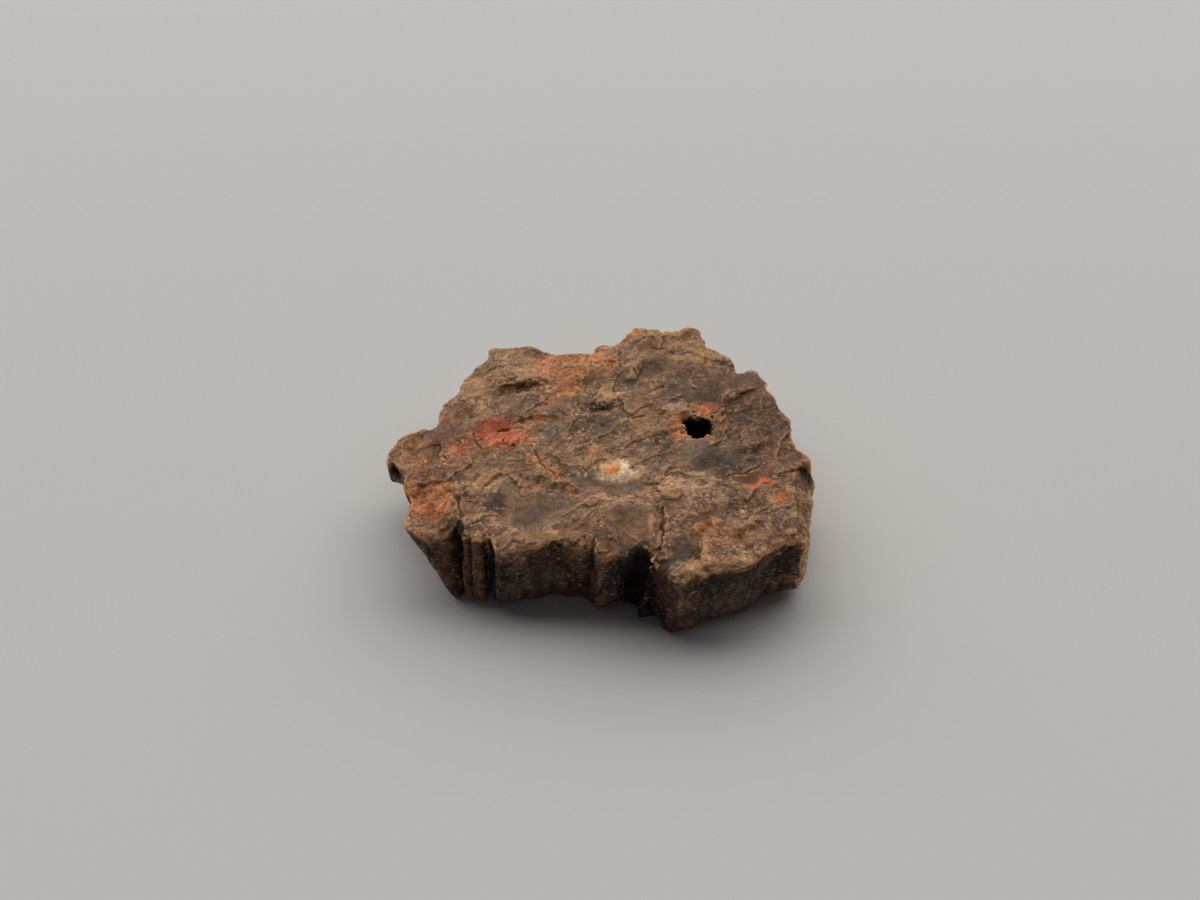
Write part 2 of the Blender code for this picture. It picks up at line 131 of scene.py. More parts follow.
# %% [markdown]
# ## Where is face, where is wall?
#
# Chips belong on the broken face and flutes on the walls, so each point is first sorted by
# the way it looks: up is face, sideways is wall, down is underside. The distance from the
# rim matters too, because the rim is ragged and stained. A tree of the wall's points finds
# it quickly for a whole face of points.

# %% Sort the points and measure their distance from the rim
KNOT = (21.0, 4.0)  # middle of the knot hole
KNOT_REACH = 5.5


def ramp(low, high, value):
    """0 at low, 1 at high, eased between them; takes arrays as well."""
    share = np.clip((value - low) / (high - low), 0.0, 1.0)
    return share * share * (3.0 - 2.0 * share)


def nearest_of(chosen, points):
    """Distance from each point to the nearest chosen one."""
    picked = np.nonzero(chosen)[0]
    tree = kdtree.KDTree(len(picked))
    for number, index in enumerate(picked):
        tree.insert(points[index], number)
    tree.balance()
    return np.array([tree.find(point)[2] for point in points])


def sort_points(points, normals):
    """Weights of face, wall and underside, and the distance across the rim."""
    to_knot = np.hypot(points[:, 0] - KNOT[0], points[:, 1] - KNOT[1])
    face = ramp(0.35, 0.65, normals[:, 2])
    under = ramp(0.35, 0.65, -normals[:, 2])
    wall = 1.0 - face - under
    outer = (normals[:, 2] < 0.3) & (normals[:, 2] > -0.5) & (to_knot > KNOT_REACH)
    upper = (normals[:, 2] > 0.7) & (points[:, 2] > 10.0)
    return face, wall, under, nearest_of(outer, points), nearest_of(upper, points)


places = np.array([vert.co for vert in net.verts]) / MM
normals = np.array([vert.normal for vert in net.verts])
face, wall, under, to_wall, to_face = sort_points(places, normals)
print("face, wall and underside share:", [round(float(w.mean()), 2) for w in (face, wall, under)])

# %% [markdown]
# ## Chips on the broken face
#
# Quartz breaks in shells: small tilted plates that meet in sharp steps. Random bumps would
# look like clay. Voronoi cells give plates instead. Each cell tilts its own way and sits a
# little higher or lower than its neighbours, and cells stretched along one diagonal show
# the sweep in which this face broke. Big plates carry smaller ones.

# %% Plates of three sizes
SWEEP = 44  # way in which the plates are stretched, in degrees
FACING = -105  # way in which most plates end, measured from the sweep
FACING_SPREAD = 240
PLATES = [  # length, width, lift, step, start of the pattern
    (8.5, 6.0, 0.30, 0.09, 3.0),
    (4.2, 3.0, 0.18, 0.06, 17.0),
    (2.0, 1.5, 0.10, 0.05, 41.0),
]
SWELL = 0.11  # height of the gentle waves of the face
SWELL_SIZE = 4.5
CRUMBLE_SIZE = 8.0  # width of the patches that broke into small plates
SMOOTH_SCARS = [  # calm shell scars: x, y, half length, half width, turn
    (-13.0, -22.0, 9.0, 5.5, 12),
    (12.0, 25.0, 6.5, 5.5, 40),
    (22.5, -6.0, 6.0, 3.6, 30),
    (3.0, -14.0, 7.5, 5.0, 10),
    (6.0, -26.0, 6.0, 4.0, 0),
    (16.0, -33.0, 3.0, 3.5, 0),
    (28.5, 18.0, 6.0, 4.0, 45),
    (31.0, -12.0, 5.5, 2.4, 28),
]
KNOB = (3.3, -9.9, 3.9, 2.4, 0, 0.5)  # x, y, half length, half width, turn, rise
GRIT = 0.09  # height of the finest roughness
WANDER_STARTS = [(9.3, -1.5, -7.9), (0.0, 0.0, 0.0), (-7.3, 12.1, 3.2)]


def wander(place):
    """A smooth vector that strays from place to place."""
    return Vector([noise.noise(place + Vector(start)) for start in WANDER_STARTS])


def turned(x, y, centre_x, centre_y, degrees):
    """A point in the axes of a form that is turned about its own centre."""
    angle = math.radians(degrees)
    along = (x - centre_x) * math.cos(angle) + (y - centre_y) * math.sin(angle)
    across = (y - centre_y) * math.cos(angle) - (x - centre_x) * math.sin(angle)
    return along, across


def calm(x, y):
    """1 in the middle of a smooth scar or of the knob, 0 outside all of them."""
    most = 0.0
    for centre_x, centre_y, half_length, half_width, turn in [*SMOOTH_SCARS, KNOB[:5]]:
        along, across = turned(x, y, centre_x, centre_y, turn)
        away = math.hypot(along / half_length, across / half_width)
        most = max(most, 1.0 - float(ramp(0.6, 1.05, away)))
    return most


def plate_under(place, plate):
    """The plate that a point lies on: the way from its middle, and three numbers of its own."""
    length, width, _, _, start = plate
    along, across = turned(place.x, place.y, 0.0, 0.0, SWEEP)
    spot = Vector((along / length, across / width, place.z * 0.25 + start))
    spot += wander(spot * 1.2) * 0.28 + wander(spot * 4.1) * 0.12
    owners = noise.voronoi(spot)[1]
    return spot - owners[0], noise.cell_vector(owners[0] * 5.0)


def plate_height(place, plate):
    """Height of a point on its tilted plate, which rises towards its broken end."""
    away, chance = plate_under(place, plate)
    facing = math.radians(FACING + FACING_SPREAD * (chance.x - 0.5))
    ahead = away.x * math.cos(facing) + away.y * math.sin(facing)
    return plate[2] * ahead * (0.4 + 1.2 * chance.y) + plate[3] * (chance.z - 0.5)


def face_height(place):
    quiet = calm(place.x, place.y)
    patch = noise.fractal(Vector((place.x, place.y, 70.0)) / CRUMBLE_SIZE, 1.0, 2.0, 2)
    crumble = float(ramp(0.0, 0.45, patch)) * (1.0 - quiet)
    big = plate_height(place, PLATES[0]) * (1.0 - 0.8 * quiet)
    middle = plate_height(place, PLATES[1]) * (0.3 + 0.7 * crumble) * (1.0 - 0.9 * quiet)
    small = plate_height(place, PLATES[2]) * crumble
    swell = SWELL * noise.fractal(place / SWELL_SIZE, 1.0, 2.0, 2) * (1.0 - 0.6 * quiet)
    grit = GRIT * noise.fractal(place / 1.1, 0.7, 2.0, 3) * (0.5 + 0.8 * crumble)
    return big + middle + small + swell + grit + knob_height(place)


def knob_height(place):
    """The pale knob of clean quartz."""
    along, across = turned(place.x, place.y, *KNOB[:2], KNOB[4])
    away = math.hypot(along / KNOB[2], across / KNOB[3])
    return KNOB[5] * (1.0 - float(ramp(0.35, 1.0, away)))


# %% [markdown]
# ## Flakes, cracks and pits by name
#
# Noise can't put one flake where the stone has it. The flakes that catch the eye are listed
# one by one: where the broken edge is, which way it faces and how far it lifts. Cracks are
# short lines with a depth, and pits are round spots.

# %% Lifted flakes
FLAKES = [  # x, y, facing, half length, reach, lift
    (2.2, 10.6, -50, 3.6, 7.0, 0.42),
    (12.2, -27.0, 3, 6.8, 5.0, 0.40),
    (8.9, 23.5, -12, 4.6, 4.0, 0.45),
    (-18.0, 18.2, -75, 6.0, 6.0, 0.30),
    (-30.2, -19.5, 178, 7.5, 5.0, 0.30),
    (26.0, -14.5, 100, 7.0, 4.0, 0.28),
    (-9.5, -14.5, -112, 6.5, 4.0, 0.25),
    (3.5, -20.3, 98, 5.0, 4.0, 0.35),
    (32.5, 14.0, -48, 6.0, 5.0, 0.35),
    (-28.0, 9.5, -150, 5.5, 4.0, 0.22),
    (-13.5, 6.2, -70, 4.5, 4.0, 0.22),
    (-0.6, 13.5, 165, 4.2, 3.0, 0.40),
    (16.5, 12.5, -62, 3.4, 3.0, 0.30),
    (-22.0, -12.5, -35, 4.4, 4.0, 0.20),
    (-16.0, -6.5, -52, 5.0, 3.5, 0.22),
    (9.5, 1.0, -58, 4.0, 3.5, 0.20),
    (18.5, -12.0, -95, 4.5, 3.5, 0.35),
    (33.0, -21.0, -60, 4.5, 3.5, 0.30),
]
FLAKE_EDGE = 0.16  # width of a broken edge
FLAKE_WANDER = 1.5


def flake_height(place):
    stray = wander(Vector((place.x, place.y, 7.0)) / 5.0) * FLAKE_WANDER
    stray += wander(Vector((place.x, place.y, 9.0)) / 2.2) * FLAKE_WANDER * 0.4
    height = 0.0
    for edge_x, edge_y, facing, half_length, reach, lift in FLAKES:
        if abs(place.x - edge_x) + abs(place.y - edge_y) > 2.0 * (half_length + reach):
            continue
        ahead, along = turned(place.x + stray.x, place.y + stray.y, edge_x, edge_y, facing)
        edge = float(ramp(-FLAKE_EDGE, FLAKE_EDGE, -ahead))
        fade = 1.0 - float(ramp(0.1, 1.0, -ahead / reach))
        ends = 1.0 - float(ramp(0.4, 1.15, abs(along) / half_length))
        height += lift * edge * fade * ends
    return height


# %% Cracks and pits
CRACKS = [  # line, width, depth
    ([(-22.3, 2.8), (-21.4, 3.1), (-20.2, 3.6)], 0.50, 0.7),
    ([(-21.5, 18.0), (-20.4, 18.2), (-18.8, 19.0)], 0.60, 0.4),
    ([(7.0, 6.8), (8.6, 6.7), (10.0, 7.2)], 0.40, 0.5),
    ([(7.8, 23.0), (8.4, 21.3), (10.0, 20.0)], 0.45, 0.6),
    ([(-13.5, -5.5), (-12.4, -8.2), (-9.2, -11.8)], 0.45, 0.5),
    ([(12.3, -21.5), (12.6, -26.0), (11.4, -32.5)], 0.50, 0.7),
    ([(-29.6, -17.0), (-28.2, -21.0), (-27.4, -24.0)], 0.60, 0.5),
    ([(26.5, -11.5), (30.0, -11.0), (33.5, -9.0)], 0.40, 0.5),
]
PITS = [  # x, y, half size, depth
    (-12.0, 11.3, 0.55, 0.9),
    (-21.0, -0.5, 0.70, 0.6),
    (-18.6, -2.6, 0.60, 0.6),
    (-3.4, 2.0, 0.60, 0.5),
    (-6.2, 1.0, 0.70, 0.5),
    (0.6, 4.0, 0.55, 0.4),
    (-33.0, -6.5, 0.60, 0.5),
    (17.6, 2.0, 0.70, 0.6),
    (24.6, 6.8, 0.80, 0.7),
    (20.6, 8.6, 0.70, 0.5),
]


def to_line(x, y, line):
    """Distance from a point to a line of short runs."""
    nearest = 1e9
    for (from_x, from_y), (to_x, to_y) in zip(line, line[1:]):
        run_x, run_y = to_x - from_x, to_y - from_y
        share = ((x - from_x) * run_x + (y - from_y) * run_y) / (run_x**2 + run_y**2)
        share = min(max(share, 0.0), 1.0)
        gap = math.hypot(x - from_x - share * run_x, y - from_y - share * run_y)
        nearest = min(nearest, gap)
    return nearest


def cut_height(place):
    stray = wander(Vector((place.x, place.y, 23.0)) / 1.6) * 0.5
    x, y = place.x + stray.x, place.y + stray.y
    height = 0.0
    for line, width, depth in CRACKS:
        if abs(x - line[0][0]) < 16.0 and abs(y - line[0][1]) < 16.0:
            height -= depth * (1.0 - float(ramp(0.0, width, to_line(x, y, line))))
    for pit_x, pit_y, half_size, depth in PITS:
        away = math.hypot(x - pit_x, y - pit_y) / half_size
        height -= depth * (1.0 - float(ramp(0.3, 1.0, away)))
    return height


# %% [markdown]
# ## Flutes and a ragged lip on the walls
#
# The walls broke along the grain of the wood, so everything on them runs up and down. Noise
# that is stretched in height gives that: it is read at the point's plan place, and hardly
# changes with z. A few ribs and grooves of the front wall are listed, and the wall beside
# the deep groove gets a rough rotten crust. The lip, where wall and face meet, is nibbled
# with a finer noise.

# %% Wall relief
WALL_CUTS = [  # x at the rim, width, depth (below 0 stands out), top, bottom, lean
    (-27.6, 0.9, 1.1, 18.0, 4.0, 0.3),
    (-26.5, 0.5, -0.7, 15.5, 1.0, 0.4),
    (-25.5, 0.5, 0.8, 16.0, 1.0, 0.3),
    (-24.8, 0.4, -0.5, 16.0, 1.0, 0.2),
    (-23.4, 0.9, -0.4, 15.0, 1.0, 0.1),
    (-21.2, 0.8, 1.2, 18.0, 1.5, 0.2),
    (-8.4, 1.5, 0.7, 18.0, 10.5, 0.0),
    (-1.4, 0.6, 1.0, 18.0, 4.0, 2.2),
    (11.8, 0.8, -0.5, 15.0, 1.0, 0.4),
]
FRONT_Y = -20.0  # the cuts are only on the front wall
COARSE_FLUTE = 0.22
FINE_FLUTE = 0.08
WALL_PLATES = 0.8  # how much of the plates' relief the wall has
CRUST = (10.5, -28.0, 0.55)  # rough rotten wall beside the deep groove: x, in front of y, height


def wall_height(place):
    x, y, z = place
    steady = float(ramp(0.5, 4.0, z))
    coarse = COARSE_FLUTE * noise.noise(Vector((x, y, z * 0.35)) / 3.1)
    fine_flute = FINE_FLUTE * noise.fractal(Vector((x, y, z * 0.2 + 30.0)) / 1.2, 1.0, 2.0, 2)
    breaks = plate_height(Vector((x, z * 0.8, y)), PLATES[1]) * WALL_PLATES
    grit = GRIT * noise.fractal(place / 0.9, 0.8, 2.0, 3)
    height = steady * (coarse + fine_flute + breaks + grit)
    crust = float(ramp(4.5, 1.5, abs(x - CRUST[0])) * ramp(2.0, 0.0, y - CRUST[1]))
    height += CRUST[2] * crust * noise.fractal(place / 1.7, 0.8, 2.0, 4)
    if y < FRONT_Y:
        for rim_x, width, depth, top, bottom, lean in WALL_CUTS:
            middle = rim_x - lean * (16.0 - z) / 16.0 + 0.25 * noise.noise(place / 3.0)
            across = abs(x - middle) / width
            if across < 1.0:
                ends = float(ramp(bottom - 1.0, bottom + 1.0, z) * ramp(-0.5, 0.5, top - z))
                height -= depth * (1.0 - across * across) * ends
    return height


LIP_BITE = 0.30  # depth of the notches along the lip
LIP_RISE = 0.32  # the rim is left standing as a thin sharp edge
LIP_RISE_WIDTH = 0.55


def lip_height(place):
    """Notches along the lip."""
    spot = Vector((place.x, place.y, place.z * 0.3)) / 2.1
    bite = noise.ridged_multi_fractal(spot, 1.0, 2.0, 2, 1.0, 2.0)
    return -LIP_BITE * max(bite - 0.55, 0.0)


# %% [markdown]
# ## Corrections to the outline
#
# Beside the real stone the outline is a little off in places: the lower left corner leans
# in, the groove's lip stands further out, and the knot hole and the stub's hollow sit a
# little aside. Carving along the normals can't do that, so whole regions are drawn aside
# by up to three millimetres, each fading out at its border. The knot hole's mouth is torn
# into teeth in the same way.

# %% Regions drawn aside
LEFT_FOOT = (-24.0, -34.0, -18.0, 8.0)  # from x, to x, in front of y, below z
LEFT_FOOT_SHIFT = 2.8


def foot_shift(points):
    """How far the lower left corner leans in under the stone."""
    from_x, to_x, front_y, top_z = LEFT_FOOT
    share = ramp(from_x, to_x, points[:, 0]) * ramp(front_y, front_y - 4.0, points[:, 1])
    return LEFT_FOOT_SHIFT * share * np.clip(1.0 - points[:, 2] / top_z, 0.0, 1.0)


PULLS = [  # centre, half sizes, shift: small regions drawn aside as a whole
    ((7.4, -30.6, 15.0), (5.0, 4.5, 10.0), (1.2, -2.0, 0.0)),
    ((20.6, 4.0, 12.0), (6.5, 6.5, 14.0), (0.9, 0.2, 0.0)),
    ((-43.0, -8.6, 12.7), (3.6, 3.8, 4.5), (0.0, 1.4, 0.3)),
    ((43.4, -22.0, 12.0), (3.5, 4.0, 9.0), (-0.7, 0.0, 0.0)),
    ((43.8, -16.5, 9.0), (3.5, 5.0, 10.0), (0.8, 0.0, 0.0)),
]


def pulled(points):
    """How far each point is drawn aside by the regions it lies in."""
    shift = np.zeros_like(points)
    for centre, half_sizes, pull in PULLS:
        away = np.linalg.norm((points - np.array(centre)) / np.array(half_sizes), axis=1)
        shift += (1.0 - ramp(0.35, 1.0, away))[:, None] * np.array(pull)
    return shift


KNOT_TEETH = 0.9  # how ragged the knot hole's mouth is


def knot_tear(points):
    """Ragged teeth round the knot hole's mouth."""
    away = points[:, :2] - np.array(KNOT)
    distance = np.maximum(np.hypot(away[:, 0], away[:, 1]), 0.01)
    share = 1.0 - ramp(3.2, 5.2, distance)
    tear = np.zeros((len(points), 3))
    for index in np.nonzero(share > 0.01)[0]:
        tooth = noise.fractal(Vector(points[index]) / 1.5, 0.9, 2.0, 3)
        tear[index, :2] = away[index] / distance[index] * tooth * KNOT_TEETH * share[index]
    return tear


# %% Carve
UNDER_SHARE = 0.5  # the underside shows half the relief of the face
LIP_ABOVE = 8.0  # the lip is worked above this height
LIP_ZONE = 3.0  # and this near to the rim
carved = np.zeros(len(places))
for index, spot in enumerate(places):
    place = Vector(spot)
    height = 0.0
    if face[index] > 0.01:
        inner = float(ramp(0.0, 0.8, to_wall[index]))
        shaped = face_height(place) + flake_height(place) + cut_height(place)
        height += face[index] * (0.5 + 0.5 * inner) * shaped
    if wall[index] > 0.01:
        height += wall[index] * wall_height(place)
    if under[index] > 0.01:
        height += under[index] * UNDER_SHARE * face_height(place)
    from_lip = to_wall[index] if face[index] > 0.5 else to_face[index]
    if place.z > LIP_ABOVE and from_lip < LIP_ZONE:
        height += math.exp(-(from_lip**2) / 2.0) * lip_height(place)
        height += LIP_RISE * math.exp(-((from_lip / LIP_RISE_WIDTH) ** 2))
    carved[index] = height
print("carved, mm: from", round(float(carved.min()), 2), "to", round(float(carved.max()), 2))

# %% [markdown]
# ## Put the carving on the stone
#
# Each point moves along its own normal. The stone must not outgrow the solid model or sink
# into the table, so points are kept inside the solid's box. Then a Decimate modifier takes
# away the points that flat places don't need, and leaves them where the stone is crisp.

# %% Move the points and thin the net
MOST_TRIANGLES = 192000
moved = places + normals * carved[:, None]
moved[:, 0] += foot_shift(places)
moved += pulled(places) + knot_tear(places)
moved = np.clip(moved, np.array(cad_low) / MM, np.array(cad_high) / MM)
for vert, spot in zip(net.verts, moved):
    vert.co = Vector(spot) * MM
carved_mesh = bpy.data.meshes.new("carved")
net.to_mesh(carved_mesh)
net.free()

carrier = bpy.data.objects.new("carrier", carved_mesh)
bpy.context.scene.collection.objects.link(carrier)
triangles = sum(len(polygon.vertices) - 2 for polygon in carved_mesh.polygons)
thinning = carrier.modifiers.new("thinning", "DECIMATE")
thinning.ratio = min(1.0, MOST_TRIANGLES / triangles)
stone_mesh = evaluated_mesh(carrier)
bpy.data.objects.remove(carrier, do_unlink=True)
stone_mesh.name = "petrified_wood_stone"
for polygon in stone_mesh.polygons:
    polygon.use_smooth = True
stone = bpy.data.objects.new("petrified_wood_stone", stone_mesh)
bpy.context.scene.collection.objects.link(stone)
print("triangles:", triangles, "thinned to", sum(len(p.vertices) - 2 for p in stone_mesh.polygons))

# %% [markdown]
# ## Where colour follows the shape
#
# Hollows are painted darker as shade, crests paler as a highlight, iron colours the lip, and
# the walls are darker than the face. Those patterns follow the surface, so they are measured
# on the finished net and stored on it.
# A point that lies below the average of its neighbours is in a hollow.

# %% Measure hollows, walls and the lip
HOLLOW_ROUNDS = (6, 30)  # rounds of blur for fine and for broad hollows
WAY_ROUNDS = 7  # rounds of blur for the way a point looks
FINE_DEPTH, BROAD_DEPTH = 0.10, 0.30  # how deep a full hollow of either kind is
LIP_IN, LIP_OUT = 0.8, 1.4  # how far the lip's colour reaches on the face and on the wall


def blurred(values, pairs, counts, rounds):
    """Values averaged with those of their neighbours, several times over."""
    for _ in range(rounds):
        total = np.zeros_like(values)
        for column in range(values.shape[1]):
            total[:, column] += np.bincount(pairs[:, 0], values[pairs[:, 1], column], len(values))
            total[:, column] += np.bincount(pairs[:, 1], values[pairs[:, 0], column], len(values))
        values = 0.5 * values + 0.5 * total / counts[:, None]
    return values


def store(mesh, name, values):
    layer = mesh.attributes.new(name, "FLOAT", "POINT")
    layer.data.foreach_set("value", np.asarray(values, np.float32))


count = len(stone_mesh.vertices)
spots = np.empty(count * 3)
stone_mesh.vertices.foreach_get("co", spots)
spots = spots.reshape(-1, 3) / MM
ways = np.array([vert.normal for vert in stone_mesh.vertices])
pairs = np.array([edge.vertices[:] for edge in stone_mesh.edges])
counts = np.bincount(pairs.ravel(), minlength=count).astype(float)
near_blur = blurred(spots, pairs, counts, HOLLOW_ROUNDS[0])
far_blur = blurred(near_blur, pairs, counts, HOLLOW_ROUNDS[1])
fine_hollow = ((near_blur - spots) * ways).sum(1) / FINE_DEPTH
broad_hollow = ((far_blur - spots) * ways).sum(1) / BROAD_DEPTH
hollow = np.clip(0.45 * fine_hollow + 0.55 * broad_hollow, -1.0, 1.0)
flat_ways = blurred(ways, pairs, counts, WAY_ROUNDS)
flat_ways /= np.linalg.norm(flat_ways, axis=1)[:, None]
face_share, _, _, rim_in, rim_out = sort_points(spots, flat_ways)
store(stone_mesh, "hollow", hollow)
store(stone_mesh, "crest", np.clip(-fine_hollow, 0.0, 1.0))
store(stone_mesh, "calm", [calm(x, y) for x, y, _ in spots])
store(stone_mesh, "wall", 1.0 - face_share)
rim = np.where(face_share > 0.5, rim_in / LIP_IN, rim_out / LIP_OUT)
store(stone_mesh, "lip", np.exp(-rim))
for name, plate in zip(("big_plate", "middle_plate"), PLATES):
    store(stone_mesh, name, [plate_under(Vector(spot), plate)[1].x for spot in spots])
print("hollow, from", round(float(hollow.min()), 2), "to", round(float(hollow.max()), 2))

# %% [markdown]
# ## The stone's colours
#
# Iron in the ground water stained the quartz red, orange and tan; carbon and manganese left
# greys and near-blacks. One noise can't tell that story, so the finish is layered as a
# painter would: a mottled ground, then stains by name and place, then specks, dirt and the
# dark walls. Places are in millimetres, so the pattern's coordinates are scaled first.

# %% A small kit for wiring nodes
material = bpy.data.materials.new("petrified_wood_stone")
material.use_nodes = True
tree = material.node_tree
shader = tree.nodes["Principled BSDF"]


def node(kind, **settings):
    made = tree.nodes.new(kind)
    for name, value in settings.items():
        setattr(made, name, value)
    return made


def feed(socket, value):
    """Link a socket's source, or set its plain value."""
    if isinstance(value, bpy.types.NodeSocket):
        tree.links.new(value, socket)
    else:
        socket.default_value = value


def maths(operation, first, second=0.0, clamp=False):
    made = node("ShaderNodeMath", operation=operation, use_clamp=clamp)
    feed(made.inputs[0], first)
    feed(made.inputs[1], second)
    return made.outputs[0]


def between(value, low, high, to_low=0.0, to_high=1.0):
    """A value eased from one range to another."""
    made = node("ShaderNodeMapRange", interpolation_type="SMOOTHSTEP")
    for socket, given in zip(made.inputs[:5], (value, low, high, to_low, to_high)):
        feed(socket, given)
    return made.outputs[0]


def mix(share, under_colour, over_colour, blend="MIX"):
    made = node("ShaderNodeMix", data_type="RGBA", blend_type=blend)
    feed(made.inputs["Factor"], share)
    feed(made.inputs[6], under_colour)
    feed(made.inputs[7], over_colour)
    return made.outputs[2]


def rgb(red, green, blue):
    return (red, green, blue, 1.0)


def noise_at(place, scale, detail=3.0, rough=0.55, distortion=0.0):
    made = node("ShaderNodeTexNoise")
    feed(made.inputs["Vector"], place)
    feed(made.inputs["Scale"], scale)
    feed(made.inputs["Detail"], detail)
    feed(made.inputs["Roughness"], rough)
    feed(made.inputs["Distortion"], distortion)
    return made


def placed(place, centre=(0, 0, 0), turn=0.0, size=(1, 1, 1)):
    """Coordinates in which a form of that centre, turn and size is a unit ball."""
    made = node("ShaderNodeMapping", vector_type="TEXTURE")
    feed(made.inputs["Vector"], place)
    feed(made.inputs["Location"], centre)
    feed(made.inputs["Rotation"], (0.0, 0.0, math.radians(turn)))
    feed(made.inputs["Scale"], size)
    return made.outputs[0]


def vector_maths(operation, first, second):
    made = node("ShaderNodeVectorMath", operation=operation)
    feed(made.inputs[0], first)
    feed(made.inputs[1], second)
    return made.outputs["Value" if operation == "DOT_PRODUCT" else "Vector"]


def oval_reach(place, x, y, half_length, half_width, turn=0.0):
    """Squared distance from a turned oval's middle, 1 on its border."""
    cosine, sine = math.cos(math.radians(turn)), math.sin(math.radians(turn))
    offset = vector_maths("SUBTRACT", place, (x, y, 0.0))
    along = (cosine / half_length, sine / half_length, 0.0)
    across = (-sine / half_width, cosine / half_width, 0.0)
    along = vector_maths("DOT_PRODUCT", offset, along)
    across = vector_maths("DOT_PRODUCT", offset, across)
    return maths("ADD", maths("MULTIPLY", along, along), maths("MULTIPLY", across, across))


def ball_reach(place, centre, half_sizes):
    """Distance from a ball's middle, 1 on its surface."""
    offset = vector_maths("SUBTRACT", place, centre)
    shrunk = vector_maths("DIVIDE", offset, half_sizes)
    made = node("ShaderNodeVectorMath", operation="LENGTH")
    feed(made.inputs[0], shrunk)
    return made.outputs["Value"]


def carried(name):
    return node("ShaderNodeAttribute", attribute_name=name).outputs["Fac"]


# %% Coordinates in millimetres, and the same with ragged borders
object_place = node("ShaderNodeTexCoord").outputs["Object"]
plain = placed(object_place, size=(MM, MM, MM))


def strayed(place, scale, reach):
    """Coordinates pushed about by a noise, so that borders come out ragged."""
    push = noise_at(place, scale, 3.0).outputs["Color"]
    centred = vector_maths("SUBTRACT", push, (0.5, 0.5, 0.5))
    return vector_maths("ADD", place, vector_maths("MULTIPLY", centred, (reach, reach, reach)))


ragged = strayed(strayed(plain, 0.22, 7.0), 1.1, 2.4)
streaks = placed(ragged, turn=SWEEP, size=(1.8, 1.0, 1.4))
wall_share_socket = carried("wall")
lip_socket = carried("lip")
hollow_socket = carried("hollow")
crest_socket = carried("crest")
broken = between(carried("calm"), 0.1, 0.9, 1.0, 0.15)  # low in the smooth scars
big_plate = carried("big_plate")
middle_plate = carried("middle_plate")

# %% [markdown]
# ### Ground
#
# The ground is taupe with patches of olive grey, dark grey, umber and tan. Each comes in by
# its own noise, from patches a centimetre wide down to grains, and they are stretched along
# the sweep of the break. Some plates also have a tone of their own, as split stone does.

# %% The palette
RED = rgb(0.560, 0.125, 0.050)
DEEP_RED = rgb(0.380, 0.072, 0.030)
SALMON = rgb(0.600, 0.235, 0.115)
ORANGE = rgb(0.620, 0.220, 0.070)
RUST = rgb(0.340, 0.155, 0.070)
PALE = rgb(0.545, 0.353, 0.196)
CREAM = rgb(0.970, 0.740, 0.480)
MAROON = rgb(0.250, 0.104, 0.056)
BLUE_GREY = rgb(0.175, 0.118, 0.080)
CHARCOAL = rgb(0.070, 0.047, 0.034)
UMBER = rgb(0.160, 0.079, 0.042)
OCHRE = rgb(0.500, 0.270, 0.120)

# %% The ground
TAUPE = rgb(0.235, 0.139, 0.077)
OLIVE_GREY = rgb(0.235, 0.148, 0.083)
DARK_GREY = rgb(0.113, 0.074, 0.047)
MAUVE_BROWN = rgb(0.120, 0.068, 0.044)
TAN = rgb(0.470, 0.265, 0.132)
LAYER_STEP = 31.0  # each layer reads its noise this much further along
FINE_START, WALL_START, SPECK_START = 200.0, 400.0, 700.0  # where each list of layers begins


def grown(below, place, shift, layer):
    """Patches of another colour, where a noise of its own is high."""
    scale, rough, low, high, strength, over = layer
    spot = placed(place, centre=(shift, 0.0, 0.0))
    share = between(noise_at(spot, scale, 6.0, rough).outputs[0], low, high, 0.0, strength)
    return mix(share, below, over)


colour = TAUPE
GROUND_LAYERS = [  # patches per millimetre, raggedness, from, to, strength, colour
    (0.06, 0.50, 0.49, 0.52, 0.90, OLIVE_GREY),
    (0.10, 0.60, 0.50, 0.52, 0.85, DARK_GREY),
    (0.13, 0.62, 0.50, 0.52, 0.70, TAN),
    (0.19, 0.66, 0.52, 0.54, 0.75, UMBER),
    (0.26, 0.68, 0.52, 0.54, 0.80, DARK_GREY),
    (0.42, 0.70, 0.54, 0.56, 0.75, TAN),
]
for number, (*pattern, strength, over) in enumerate(GROUND_LAYERS):
    layer = (*pattern, maths("MULTIPLY", broken, strength), over)
    colour = grown(colour, streaks, LAYER_STEP * number, layer)
PLATE_TONES = [  # which plates, from, to, strength, colour
    (big_plate, 0.66, 0.70, 0.55, DARK_GREY),
    (big_plate, 0.34, 0.30, 0.50, TAN),
    (middle_plate, 0.70, 0.73, 0.45, OLIVE_GREY),
    (middle_plate, 0.26, 0.23, 0.40, TAUPE),
]
for which, low, high, strength, over in PLATE_TONES:
    colour = mix(between(which, low, high, 0.0, strength), colour, over)
print("ground patches:", len(GROUND_LAYERS), "and plate tones:", len(PLATE_TONES))

# %% [markdown]
# ### Stains
#
# Every stain that has a place of its own is listed. The ragged coordinates bend its border,
# a noise tears it, and a patchy noise lets the ground through, so no stain looks like a
# painted spot.

